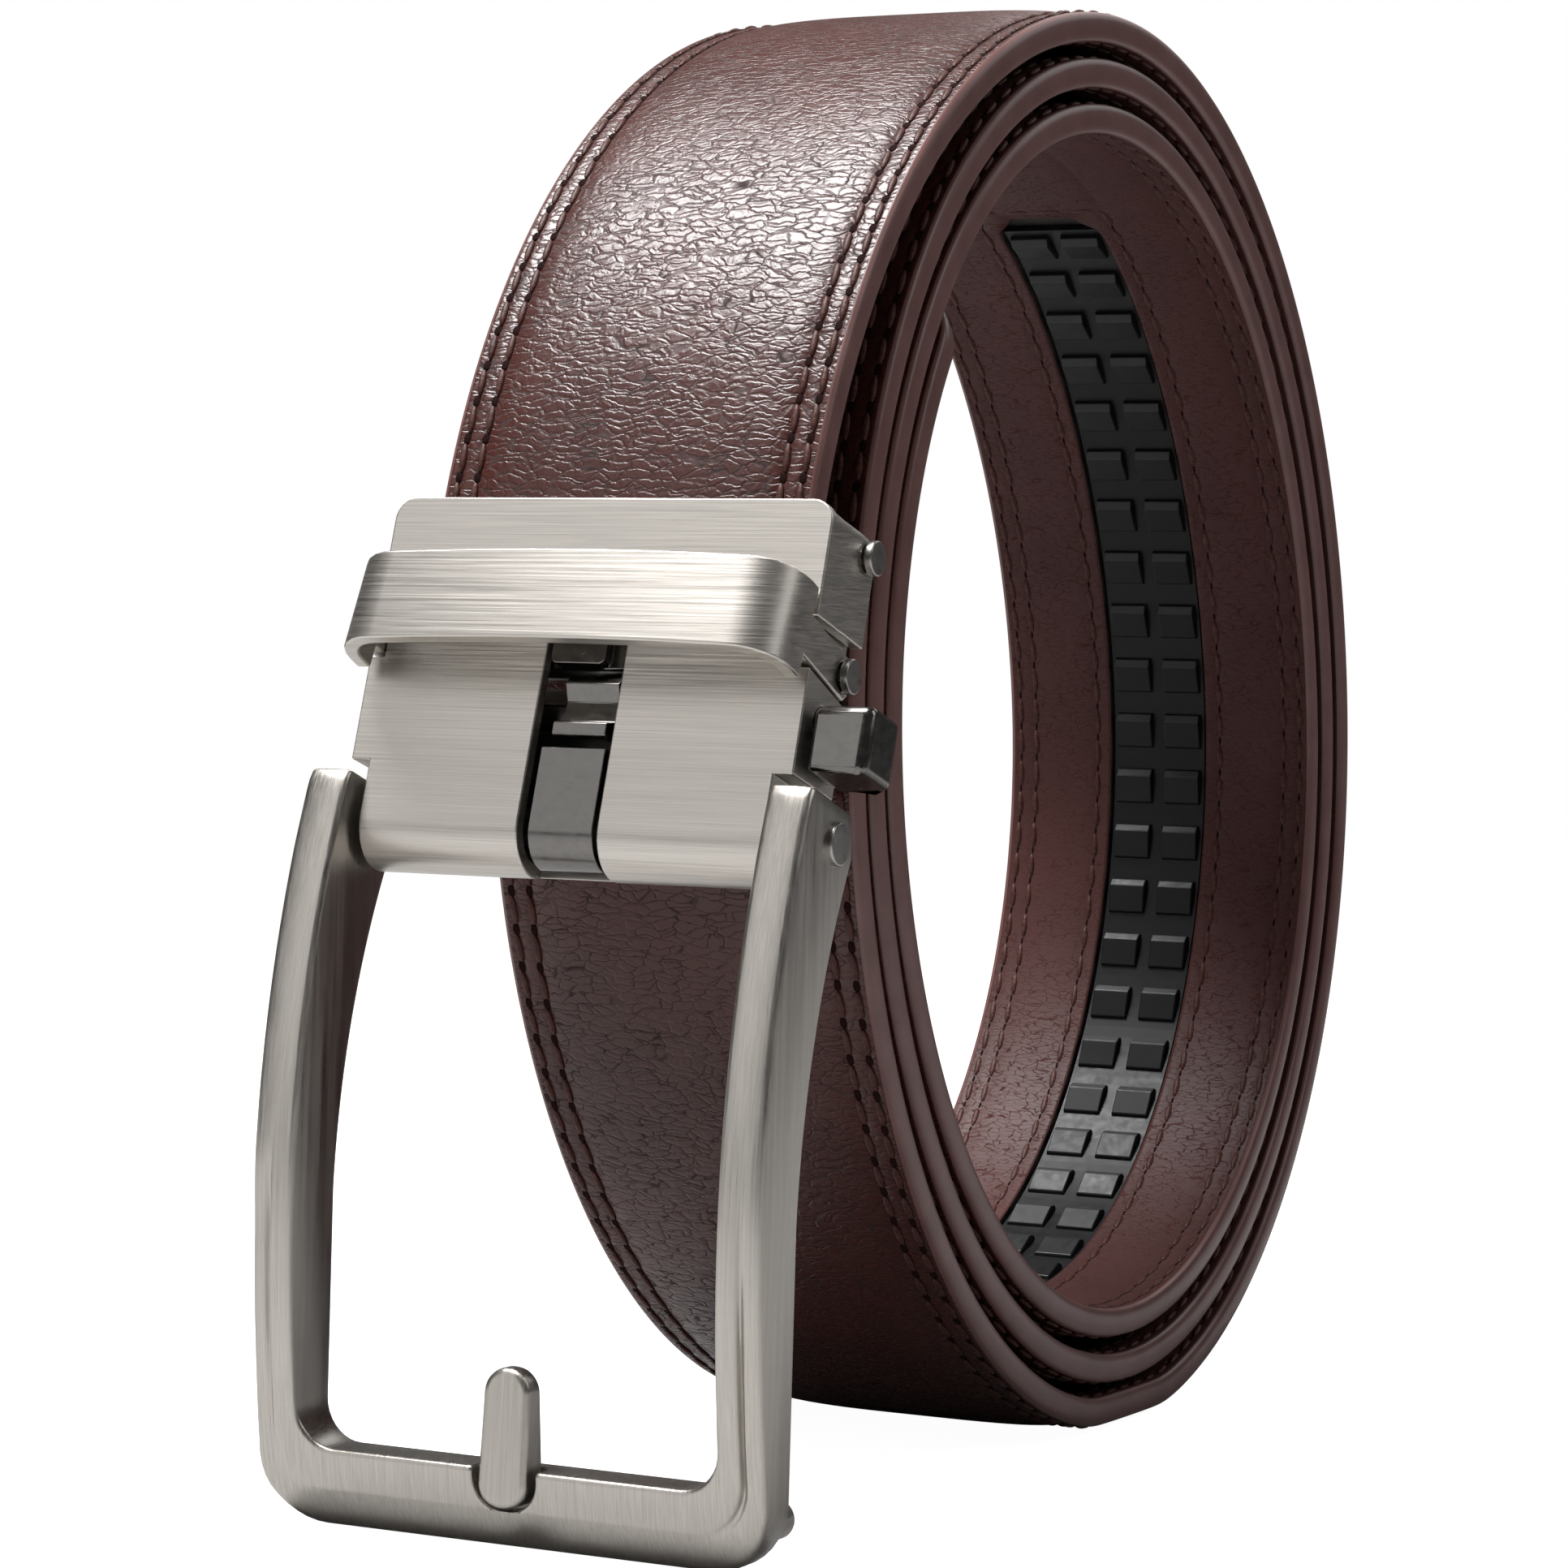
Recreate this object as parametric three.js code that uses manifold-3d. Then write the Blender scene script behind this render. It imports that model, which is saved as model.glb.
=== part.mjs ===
// A leather ratchet belt, rolled up and standing on its coil with the buckle in front.
// Millimetres, +Z up. X runs along the belt's width, and the buckle faces -Y.
// Side outlines are drawn as (forward, up): forward is -Y, towards the viewer.
// The floor is Z = 0, and the origin is the centre of the whole belt's footprint.
import * as THREE from "three";
import { mergeVertices } from "three/addons/utils/BufferGeometryUtils.js";
import Module from "manifold-3d";

const wasm = await Module();
wasm.setup();

// Air left between pieces that touch on the real belt
const clearance = 0.3;

// Leather strap: a flat band with a padded middle
const strapWidth = 35;
const strapThickness = 2.8;
const padHeight = 0.45;
const padMargin = 3.3; // flat edge that carries the stitching
const padSlope = 1.8; // width over which the padding rises
const edgeRound = 0.4;
const tipLength = 9; // rounded free end

// Coil, in degrees round its centre: 0 faces the buckle, 90 is the top
const coilRadius = 68.5; // outside of the first turn, before its sag
const coilSink = 1; // how far that turn presses down
const coilHeight = coilRadius - coilSink; // centre above the floor
const coilPitch = 4.4; // from one turn to the next
const pitchTightening = 0.6; // how much closer the turns lie at the front
const coilShift = { amount: 1.8, towards: -42 };
const coilOval = { amount: 2.95, towards: 55 };
const coilStart = 75; // where the strap coming from the buckle joins the coil
const coilEnd = 1123; // where the free end stops
const coilStep = 7.5;

// Ratchet track: two columns of teeth, seen through a window in the lining
const trackWidth = 10.4;
const trackBase = 0.5;
const toothHeight = 0.5;
const toothWidth = 3.6;
const toothGroove = 1.8;
const toothPitch = 6.2;
const toothLead = 0.15; // share of the pitch before each tooth
const toothSides = [
  { along: 0, high: 0 },
  { along: 0.16, high: 1 },
  { along: 0.62, high: 0.45 },
  { along: 0.7, high: 0 },
]; // shares of the pitch and of the tooth's height: a short steep face, then a ramp
const windowDepth = 1.2;
const windowStart = 825; // coil angle of the window's top end
const windowMargin = 12; // leather left between the window and the free end
const windowChamfer = 2.2;

// Buckle housing: a folded plate that leans back with the strap above it
const hingeStandoff = 11.4; // hinge axis, in front of the first turn
const hingeForward = coilRadius + hingeStandoff;
const hingeHeight = 57.5;
const buckleLean = 16;
const plateThickness = 1.2;
const barrelRadius = 3.9; // the plate's fold round the hinge
const housingWidth = 41;
const neckGap = 0.65; // beside the neck, to each of the frame's arms
const neckHeight = 4.6;
const rearDepth = 5.2; // clamp walls behind the hinge axis
const slotWidth = 7.4;
const slotUnder = 1.5; // how far the slot runs on behind the hinge axis, under the fold

// Clamp cover over the strap's end
const clampPin = { back: 3.5, up: 25.2 };
const coverTop = 2.6; // above the clamp pin
const coverHeight = clampPin.up + coverTop;
const coverWall = 1.1;
const coverCorner = 2;
const coverLobe = [75, 120, 170, 220]; // degrees round the clamp pin, along its rear edge
const clampBite = 17; // lowest point of the strap in the clamp

// Keeper loop, pinned to the housing and tipped up a little
const keeperPin = { back: 2.4, up: 14.7 };
const keeperTilt = 9;
const keeperEar = 3.7;
const keeperBelow = 3.8;
const keeperAbove = 4.3;
const keeperWall = 1.3;
const keeperRoom = 4.5; // free space for the belt's end under the loop
const keeperCrown = 0.7;
const keeperCorner = 4.4;

// Pins
const pinRadius = 0.9;
const pinHead = 1.5;
const pinHeadHeight = 0.7;
const hingePinRadius = 1.8;
const hingePinProud = 0.5;

// Buckle frame: a bowed U on the hinge
const frameWidth = 46.6;
const armWidth = 3.9;
const frameOpening = frameWidth - 2 * armWidth;
const frameCorner = 5.5;
const frameInnerCorner = 3.5;
const barHeight = 6.6;
const frameBow = 4.4;
const frameTop = { forward: 5.1, up: 3.6 };
const frameFoot = { forward: 8.9, rear: 4.6, toe: 7.2, up: 3.2 };
const frameHeel = { back: 3.3, up: -1.2 }; // rear of the ear, from the hinge axis
const frameKnee = { forward: 4.8, up: -30 };
const kneeBow = 1.7;
const frameEar = [[4.3, 4.7], [0.4, 4.4], [-3, 2.3]]; // its top, front to back, from the hinge axis
const footPeg = { radius: 1.6, inset: 2.1, up: 3.9, length: 2.2 };

// Prong: a short fixed tooth in a notch of the frame's bar
const prongWidth = 4.2;
const prongLength = 11.3;
const prongBottom = 3.4;
const prongDepth = 3;
const prongProud = 1;
const notchWidth = 5.8;
const notchCorner = 2.7;
const prongCorner = 2;

// Ratchet pawl and its release lever, on one shaft
const shaft = { behind: 3.7, up: 9.8, radius: 1.2 }; // behind the housing's face
const pawlWidth = 5;
const pawlOffset = 0.5;
const pawlOutline = [
  [-1.6, -2.6],
  [3, -2.7],
  [3.6, -2.4],
  [3.6, -1.4],
  [2.1, -0.9],
  [1.9, 0.8],
  [2.7, 2.2],
  [2.1, 2.9],
  [-0.8, 2.2],
  [-2, 0],
]; // (forward, up) from the shaft
const stopBlock = { above: 3.7, height: 2.8, right: 1.7, corner: 0.6, foot: 2, footDepth: 1.1 };
const leverWidth = 5.2;
const leverHeight = 5.6;
const leverBottom = 5.2;
const leverDepth = { forward: 3.2, back: 3.4 };
const leverCorner = 1;
const shaftReach = 2.3; // of the shaft inside the lever

// Tongue: the spring plate that shows in the slot and curls round the hinge pin
const tongueWidth = 6;
const tongueThickness = 1;
const tongueTop = 6.4;

const degrees = Math.PI / 180;
const sliver = 1e-3; // keeps points apart where a shape runs flat
const finish = (color, roughness, metalness = 0) =>
  new THREE.MeshStandardMaterial({ color, roughness, metalness });
const brushedNickel = () => finish(0xafaaa3, 0.35, 1);
const smokedNickel = () => finish(0x504e4c, 0.28, 1);
const brownLeather = () => finish(0x4b2f2c, 0.5);
const blackPlastic = () => finish(0x2a2c2d, 0.45);

function solidOf(geometry) {
  const bare = new THREE.BufferGeometry().setAttribute("position", geometry.getAttribute("position"));
  if (geometry.index) bare.setIndex(geometry.index);
  const merged = mergeVertices(bare, 1e-4);
  return new wasm.Manifold(
    new wasm.Mesh({
      numProp: 3,
      vertProperties: new Float32Array(merged.getAttribute("position").array),
      triVerts: new Uint32Array(merged.index.array),
    }),
  );
}

function pieceOf(name, solid, material) {
  const { vertProperties, triVerts } = solid.getMesh();
  const geometry = new THREE.BufferGeometry();
  geometry.setAttribute("position", new THREE.BufferAttribute(vertProperties, 3));
  geometry.setIndex(new THREE.BufferAttribute(triVerts, 1));
  geometry.computeVertexNormals();
  const mesh = new THREE.Mesh(geometry, material);
  mesh.name = name;
  return mesh;
}

function outline(points) {
  return new THREE.Shape(points.map(([u, v]) => new THREE.Vector2(u, v)));
}

function extrude(shape, length, basis, offset) {
  const geometry = new THREE.ExtrudeGeometry(shape, { depth: length, bevelEnabled: false, curveSegments: 8 });
  const matrix = new THREE.Matrix4().makeBasis(...basis.map((axis) => new THREE.Vector3(...axis)));
  geometry.applyMatrix4(matrix.setPosition(...offset));
  return solidOf(geometry);
}

// A side outline (forward, up), extruded across the width from x0 to x1
function across(shape, x0, x1) {
  return extrude(shape, x1 - x0, [[0, -1, 0], [0, 0, 1], [-1, 0, 0]], [x1, 0, 0]);
}

// A front outline (x, up), extruded from one forward distance to another
function forwards(shape, from, to) {
  return extrude(shape, to - from, [[1, 0, 0], [0, 0, 1], [0, -1, 0]], [0, -from, 0]);
}

// A plan outline (x, forward), extruded upwards from one height to another
function upwards(shape, from, to) {
  return extrude(shape, to - from, [[1, 0, 0], [0, -1, 0], [0, 0, -1]], [0, 0, to]);
}

function box(x0, x1, back, front, low, high) {
  return across(outline([[back, low], [front, low], [front, high], [back, high]]), x0, x1);
}

function pairOf(make) {
  return make(1).add(make(-1));
}

// A wall of the given side outline on the left or right, between two distances from the middle
function wall(shape, side, inner, outer) {
  return side > 0 ? across(shape, inner, outer) : across(shape, -outer, -inner);
}

function circle(u, v, radius, sides = 16) {
  const shape = new THREE.Shape().absarc(u, v, radius, 0, 2 * Math.PI);
  return outline(shape.getPoints(sides / 2).slice(0, -1).map((p) => [p.x, p.y]));
}

// A pin or bore along X at a place in the side outline
function rod(place, radius, x0, x1) {
  return across(circle(place.forward, place.up, radius), x0, x1);
}

// Points of an arc from a to b whose middle stands out by the bow, to the right of the way from a to b
function bowed(a, b, bow, steps = 10) {
  const along = new THREE.Vector2().subVectors(b, a);
  const half = along.length() / 2;
  const radius = (half * half + bow * bow) / (2 * bow);
  const middle = new THREE.Vector2().addVectors(a, b).multiplyScalar(0.5);
  const outwards = new THREE.Vector2(along.y, -along.x).normalize();
  const centre = middle.clone().addScaledVector(outwards, bow - radius);
  const points = [];
  for (let i = 0; i <= steps; i++) {
    const turn = (i / steps - 0.5) * 2 * Math.asin(half / radius);
    points.push(outwards.clone().rotateAround(new THREE.Vector2(), turn).multiplyScalar(radius).add(centre));
  }
  return points.map((p) => [p.x, p.y]);
}

function roundedRectangle(left, right, low, high, corners) {
  const { bottom = 0, top = 0 } = corners;
  const shape = new THREE.Shape();
  shape.moveTo(left + bottom, low);
  shape.lineTo(right - bottom, low);
  if (bottom) shape.absarc(right - bottom, low + bottom, bottom, -Math.PI / 2, 0);
  shape.lineTo(right, high - top);
  if (top) shape.absarc(right - top, high - top, top, 0, Math.PI / 2);
  shape.lineTo(left + top, high);
  if (top) shape.absarc(left + top, high - top, top, Math.PI / 2, Math.PI);
  shape.lineTo(left, low + bottom);
  if (bottom) shape.absarc(left + bottom, low + bottom, bottom, Math.PI, 1.5 * Math.PI);
  return shape;
}

// Height on the buckle's face of a line that lies along the tilted keeper
const keeperTan = Math.tan(keeperTilt * degrees);
const alongKeeper = (forward, offset) => keeperPin.up + offset + (forward + keeperPin.back) * keeperTan;

// Axes of the pins and the shaft, and half the widths of the clamp's walls and the room between them
const hingeAt = { forward: 0, up: 0 };
const clampAt = { forward: -clampPin.back, up: clampPin.up };
const keeperAt = { forward: -keeperPin.back, up: keeperPin.up };
const shaftAt = { forward: barrelRadius - shaft.behind, up: shaft.up };
const housingHalf = housingWidth / 2;
const clampHalf = housingHalf - coverWall - clearance;
const clampRoom = clampHalf - coverWall;
const leverFrom = housingHalf + 2 * clearance;

// Stations along the strap's centre line: place (forward, up), outward normal and length so far
const padTop = strapThickness / 2 + padHeight;
const coilCentre = new THREE.Vector2(0, coilHeight);

function coilPoint(angle) {
  const a = angle * degrees;
  const shift = coilShift.amount * Math.cos(a - coilShift.towards * degrees);
  const oval = coilOval.amount * Math.cos(2 * (a - coilOval.towards * degrees));
  const wound = (coilPitch - pitchTightening * Math.cos(a)) * (angle / 360);
  const radius = coilRadius - wound + shift + oval - strapThickness / 2;
  const point = new THREE.Vector2(radius * Math.cos(a), radius * Math.sin(a)).add(coilCentre);
  point.y = Math.max(point.y, padTop); // flat where the coil rests
  return point;
}

const leanAxis = new THREE.Vector2(-Math.sin(buckleLean * degrees), Math.cos(buckleLean * degrees));
const leanForward = new THREE.Vector2(leanAxis.y, -leanAxis.x);
const hinge = new THREE.Vector2(hingeForward, hingeHeight);
const strapForward = barrelRadius - plateThickness - clearance - padTop; // strap's centre in the clamp

function onBuckle(forward, up) {
  return hinge.clone().addScaledVector(leanForward, forward).addScaledVector(leanAxis, up);
}

function strapLine() {
  const joinPoint = coilPoint(coilStart);
  const joinWay = coilPoint(coilStart + 1).sub(joinPoint).normalize();
  const leave = onBuckle(strapForward, coverHeight);
  const reach = leave.distanceTo(joinPoint) * 0.36;
  const lead = new THREE.CubicBezierCurve(
    leave,
    leave.clone().addScaledVector(leanAxis, reach),
    joinPoint.clone().addScaledVector(joinWay, -reach),
    joinPoint,
  );
  const points = [onBuckle(strapForward, clampBite), ...lead.getSpacedPoints(11).slice(0, -1)];
  for (let angle = coilStart; angle < coilEnd - coilStep; angle += coilStep) points.push(coilPoint(angle));
  return points;
}

// Stations at even steps near the free end, so that the tip can be rounded
function withTip(points) {
  const last = coilPoint(coilEnd);
  const before = points[points.length - 1];
  const steps = 7;
  const tip = [];
  for (let i = 1; i <= steps; i++) tip.push(before.clone().lerp(last, i / steps));
  return [...points, ...tip];
}

function stationsOf(points) {
  let length = 0;
  return points.map((place, i) => {
    const next = points[Math.min(i + 1, points.length - 1)];
    const previous = points[Math.max(i - 1, 0)];
    const way = new THREE.Vector2().subVectors(next, previous).normalize();
    if (i > 0) length += place.distanceTo(previous);
    return { place, way, outwards: new THREE.Vector2(way.y, -way.x), length };
  });
}

// A band along the stations. sectionAt gives (x, outward) points, anticlockwise seen along the strap.
function ribbon(stations, sectionAt) {
  const rings = stations.map((station, i) =>
    sectionAt(station, i).map(([x, out]) => {
      const p = station.place.clone().addScaledVector(station.outwards, out);
      return [x, -p.x, p.y];
    }),
  );
  const sides = rings[0].length;
  const triangles = [];
  const cap = THREE.ShapeUtils.triangulateShape(
    sectionAt(stations[0], 0).map(([x, out]) => new THREE.Vector2(x, out)),
    [],
  );
  const last = (rings.length - 1) * sides;
  for (const [a, b, c] of cap) triangles.push(a, b, c, last + a, last + c, last + b);
  for (let ring = 0; ring < rings.length - 1; ring++) {
    for (let i = 0; i < sides; i++) {
      const a = ring * sides + i;
      const b = ring * sides + ((i + 1) % sides);
      triangles.push(a, a + sides, b, b, a + sides, b + sides);
    }
  }
  const geometry = new THREE.BufferGeometry();
  geometry.setAttribute("position", new THREE.Float32BufferAttribute(rings.flat(2), 3));
  geometry.setIndex(triangles);
  return solidOf(geometry);
}

const strapStations = stationsOf(withTip(strapLine()));
const strapLength = strapStations[strapStations.length - 1].length;

function strapSection(station) {
  const left = strapLength - station.length; // leather still to come before the free end
  const cut = Math.max(0, 1 - left / tipLength);
  const half = (strapWidth / 2) * Math.sqrt(1 - 0.75 * cut * cut);
  const pad = half - padMargin;
  const face = strapThickness / 2;
  return [
    [-half, -face],
    [half, -face],
    [half, face - edgeRound],
    [half - edgeRound, face],
    [pad, face],
    [pad - padSlope, face + padHeight],
    [padSlope - pad, face + padHeight],
    [-pad, face],
    [edgeRound - half, face],
    [-half, face - edgeRound],
  ];
}

// The stretch of stations between the first and last of these lengths, with a station at each of them
function stretch(...lengths) {
  const [from, to] = [lengths[0], lengths[lengths.length - 1]];
  const inside = strapStations.filter((station) => station.length > from && station.length < to);
  const cutAt = (length) => {
    const after = strapStations.findIndex((station) => station.length >= length);
    const [a, b] = [strapStations[after - 1], strapStations[after]];
    const share = (length - a.length) / (b.length - a.length);
    const way = a.way.clone().lerp(b.way, share).normalize();
    const place = a.place.clone().lerp(b.place, share);
    return { place, way, outwards: new THREE.Vector2(way.y, -way.x), length };
  };
  return [...inside, ...lengths.map(cutAt)].sort((a, b) => a.length - b.length);
}

const lengthAtAngle = (angle) => {
  const point = coilPoint(angle);
  const turns = strapStations.filter((station) => station.place.distanceTo(point) < coilPitch);
  return turns.reduce((a, b) => (a.place.distanceTo(point) < b.place.distanceTo(point) ? a : b)).length;
};
const windowFrom = lengthAtAngle(windowStart);
const windowTo = strapLength - windowMargin;
const liningFace = -strapThickness / 2;

function strap() {
  const half = trackWidth / 2 + clearance;
  const cuts = [windowFrom, windowFrom + windowChamfer, windowTo - windowChamfer, windowTo];
  const recess = ribbon(stretch(...cuts), (station) => {
    const gone = Math.min(station.length - windowFrom, windowTo - station.length);
    const width = half - Math.max(0, windowChamfer - gone);
    return [
      [-width, liningFace - clearance],
      [width, liningFace - clearance],
      [width, liningFace + windowDepth],
      [-width, liningFace + windowDepth],
    ];
  });
  return pieceOf("leather_strap", ribbon(strapStations, strapSection).subtract(recess), brownLeather());
}

function ratchetTrack() {
  const floor = liningFace + windowDepth - clearance;
  const half = trackWidth / 2;
  const [inner, outer] = [toothGroove / 2, toothGroove / 2 + toothWidth];
  const from = windowFrom + windowChamfer + clearance;
  const rows = Math.floor((windowTo - windowChamfer - clearance - from) / toothPitch);
  const lengths = [from];
  const heights = [0];
  for (let row = 0; row < rows; row++) {
    for (const side of toothSides) {
      lengths.push(from + (row + toothLead + side.along) * toothPitch);
      heights.push(side.high * toothHeight);
    }
  }
  lengths.push(from + rows * toothPitch);
  heights.push(0);
  const end = lengths[lengths.length - 1];
  const stations = lengths.map((length) => stretch(Math.min(length, end - sliver), end + 1)[0]);
  const track = ribbon(stations, (station, i) => {
    const base = floor - trackBase;
    const top = base - heights[i] - sliver;
    return [
      [half, floor],
      [-half, floor],
      [-half, base],
      [-outer, top],
      [-inner, top],
      [0, base],
      [inner, top],
      [outer, top],
      [half, base],
    ];
  });
  return pieceOf("ratchet_track", track, blackPlastic());
}

// A hole right through the buckle, with air round the pin
function bore(place, radius) {
  return rod(place, radius + clearance, -frameWidth / 2 - 1, frameWidth / 2 + 1);
}

// The barrel's outline: straight down the front, round the hinge and up the back
function foldedPlate(radius, frontTop, backTop) {
  const shape = new THREE.Shape();
  shape.moveTo(radius, frontTop);
  shape.lineTo(-radius, backTop);
  shape.lineTo(-radius, 0);
  shape.absarc(0, 0, radius, Math.PI, 2 * Math.PI);
  return shape;
}

function buckleHousing() {
  const frontTop = alongKeeper(barrelRadius, keeperEar / 2);
  const shoulder = (forward) => alongKeeper(forward, -keeperEar / 2 - clearance);
  const rearTop = shoulder(-barrelRadius);
  const block = foldedPlate(barrelRadius, frontTop, rearTop);
  const within = foldedPlate(barrelRadius - plateThickness, frontTop + 1, rearTop + 1);
  const middle = across(block, -clampHalf, clampHalf).subtract(across(within, -clampRoom, clampRoom));
  const shoulders = outline([
    [-barrelRadius, neckHeight],
    [barrelRadius, neckHeight],
    [barrelRadius, shoulder(barrelRadius)],
    [-barrelRadius, shoulder(-barrelRadius)],
  ]);
  const clampWall = outline([
    [-barrelRadius, neckHeight],
    [strapForward, neckHeight],
    [strapForward + padTop, coverHeight - clearance],
    [-clampPin.back, clampPin.up + pinHead],
    [-rearDepth, clampPin.up - pinHead],
    [-rearDepth, rearTop],
  ]);
  const clampPlateFront = strapForward - strapThickness / 2 - clearance;
  const clampPlate = [clampPlateFront - plateThickness, clampPlateFront, clampBite, coverHeight - coverWall];
  let housing = middle
    .add(pairOf((side) => wall(shoulders, side, clampRoom, housingHalf)))
    .add(pairOf((side) => wall(clampWall, side, clampRoom, clampHalf)))
    .add(box(-clampHalf, clampHalf, ...clampPlate));
  const sideCut = outline([
    [-rearDepth - 1, -barrelRadius - 1],
    [barrelRadius + 1, -barrelRadius - 1],
    [barrelRadius + 1, neckHeight],
    [-rearDepth - 1, neckHeight],
  ]);
  housing = housing.subtract(pairOf((side) => wall(sideCut, side, frameOpening / 2 - neckGap, housingHalf + 1)));
  const slotTop = frontTop + 1;
  const slotHalf = slotWidth / 2;
  const slotFront = barrelRadius + 1;
  housing = housing
    .subtract(box(-slotHalf, slotHalf, clearance, slotFront, -slotFront, slotTop))
    .subtract(box(-slotHalf, slotHalf, -slotUnder, slotFront, -slotFront, 0));
  const bores = [
    bore(clampAt, pinRadius),
    bore(keeperAt, pinRadius),
    bore(hingeAt, hingePinRadius),
    bore(shaftAt, shaft.radius),
  ];
  for (const hole of bores) housing = housing.subtract(hole);
  return pieceOf("buckle_housing", housing, brushedNickel());
}

function clampCover() {
  const half = housingHalf;
  const front = barrelRadius;
  const low = (forward) => alongKeeper(forward, keeperEar / 2 + clearance);
  const shape = roundedRectangle(-half, half, low(front), coverHeight, { top: coverCorner });
  const plate = forwards(shape, front - plateThickness, front);
  const lobe = pinHead + coverWall / 2; // rounds the side walls behind the pin's head
  const lobePoints = coverLobe.map((turn) => [
    clampAt.forward + lobe * Math.cos(turn * degrees),
    clampAt.up + lobe * Math.sin(turn * degrees),
  ]);
  const side = outline([
    [front - plateThickness / 2, low(front)],
    [front - plateThickness / 2, coverHeight - coverCorner / 2],
    ...lobePoints,
    [-rearDepth, low(-rearDepth)],
  ]);
  const cover = plate
    .add(pairOf((way) => wall(side, way, half - coverWall, half)))
    .intersect(forwards(shape, -rearDepth - 1, front))
    .subtract(bore(clampAt, pinRadius));
  return pieceOf("clamp_cover", cover, brushedNickel());
}

// Drawn round its own pin, before the tilt
function keeperLoop() {
  const half = housingHalf;
  const plateAt = barrelRadius + keeperPin.back; // the housing's face, from the keeper's pin
  const tilt = keeperTilt * degrees;
  const face = (plateAt + clearance + keeperAbove * Math.sin(tilt)) / Math.cos(tilt);
  const inside = face + keeperRoom;
  const band = (width, depth, corner) => {
    const ends = [width - corner, corner - width].map((x) => new THREE.Vector2(x, depth));
    const side = bowed(...ends, keeperCrown, 8);
    const round = (x, sign) =>
      [0, 1, 2, 3, 4, 5, 6].map((i) => {
        const turn = (i / 6) * 90 * degrees;
        return [x + sign * corner * Math.cos(turn), depth - corner + corner * Math.sin(turn)];
      });
    const right = round(width - corner, 1).slice(0, -1);
    const left = round(corner - width, -1).slice(0, -1).reverse();
    return outline([[-width, -2 * pinHead], [width, -2 * pinHead], ...right, ...side, ...left]);
  };
  const [low, high] = [-keeperBelow, keeperAbove];
  const loop = upwards(band(half, inside + keeperWall, keeperCorner), low, high).subtract(
    upwards(band(half - keeperWall, inside, keeperCorner - keeperWall), low - 1, high + 1),
  );
  const open = box(keeperWall - half, half - keeperWall, -3 * pinHead, plateAt, low - 1, high + 1);
  const ear = keeperEar / 2;
  const profile = outline([
    [-pinHead, -ear * 0.6],
    [-pinHead * 0.6, -ear],
    [face, -ear],
    [face, low],
    [inside + 2 * keeperCorner, low],
    [inside + 2 * keeperCorner, high],
    [face, high],
    [face, ear],
    [-pinHead * 0.6, ear],
    [-pinHead, ear * 0.6],
  ]);
  const keeper = loop
    .subtract(open)
    .intersect(across(profile, -half, half))
    .subtract(bore(hingeAt, pinRadius));
  return pieceOf("keeper_loop", keeper, brushedNickel());
}

function pinThrough(name, place) {
  const face = housingHalf + clearance;
  const head = (side) => wall(circle(place.forward, place.up, pinHead), side, face, face + pinHeadHeight);
  const stem = rod(place, pinRadius, -face - clearance, face + clearance);
  return pieceOf(name, stem.add(pairOf(head)), brushedNickel());
}

function hingePin() {
  const reach = frameWidth / 2 + hingePinProud;
  return pieceOf("hinge_pin", rod(hingeAt, hingePinRadius, -reach, reach), brushedNickel());
}

function tonguePlate() {
  const outer = barrelRadius - plateThickness / 2;
  const inner = Math.max(hingePinRadius + clearance, outer - tongueThickness);
  const shape = new THREE.Shape();
  shape.moveTo(outer, tongueTop);
  shape.lineTo(inner, tongueTop);
  shape.absarc(0, 0, inner, 0, -Math.PI / 2, true);
  shape.absarc(0, 0, outer, -Math.PI / 2, 0, false);
  return pieceOf("tongue_plate", across(shape, -tongueWidth / 2, tongueWidth / 2), smokedNickel());
}

function pawl() {
  const profile = outline(pawlOutline.map(([forward, up]) => [shaftAt.forward + forward, shaftAt.up + up]));
  const tooth = across(profile, pawlOffset - pawlWidth / 2, pawlOffset + pawlWidth / 2);
  const stem = rod(shaftAt, shaft.radius, clearance - clampRoom, leverFrom + shaftReach);
  return pieceOf("pawl", tooth.add(stem), smokedNickel());
}

function pawlStop() {
  const { height, right, corner, foot, footDepth } = stopBlock;
  const slot = slotWidth / 2 - clearance;
  const back = barrelRadius - plateThickness - clearance;
  const low = shaftAt.up + stopBlock.above;
  const corners = { bottom: corner, top: corner };
  const block = roundedRectangle(-slot, right, low, low + height, corners);
  const base = roundedRectangle(-slot - foot, slot + foot, low, low + height, corners);
  const front = forwards(block, back - corner, barrelRadius - clearance);
  const solid = front.add(forwards(base, back - footDepth, back));
  return pieceOf("pawl_stop", solid, smokedNickel());
}

function releaseLever() {
  const x0 = leverFrom;
  const x1 = x0 + leverWidth;
  const plan = new THREE.Shape();
  const { forward, back } = leverDepth;
  plan.moveTo(x0, -back);
  plan.lineTo(x1 - 2 * leverCorner, -back);
  plan.absarc(x1 - 2 * leverCorner, 2 * leverCorner - back, 2 * leverCorner, -Math.PI / 2, 0);
  plan.lineTo(x1, forward - leverCorner);
  plan.absarc(x1 - leverCorner, forward - leverCorner, leverCorner, 0, Math.PI / 2);
  plan.lineTo(x0, forward);
  const leverTop = leverBottom + leverHeight;
  const corners = { bottom: leverCorner / 2, top: leverCorner };
  const side = roundedRectangle(-back, forward, leverBottom, leverTop, corners);
  const block = upwards(plan, leverBottom, leverTop).intersect(across(side, x0, x1));
  const hole = rod(shaftAt, shaft.radius + clearance, x0 - 1, x0 + shaftReach + clearance);
  return pieceOf("release_lever", block.subtract(hole), smokedNickel());
}

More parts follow.
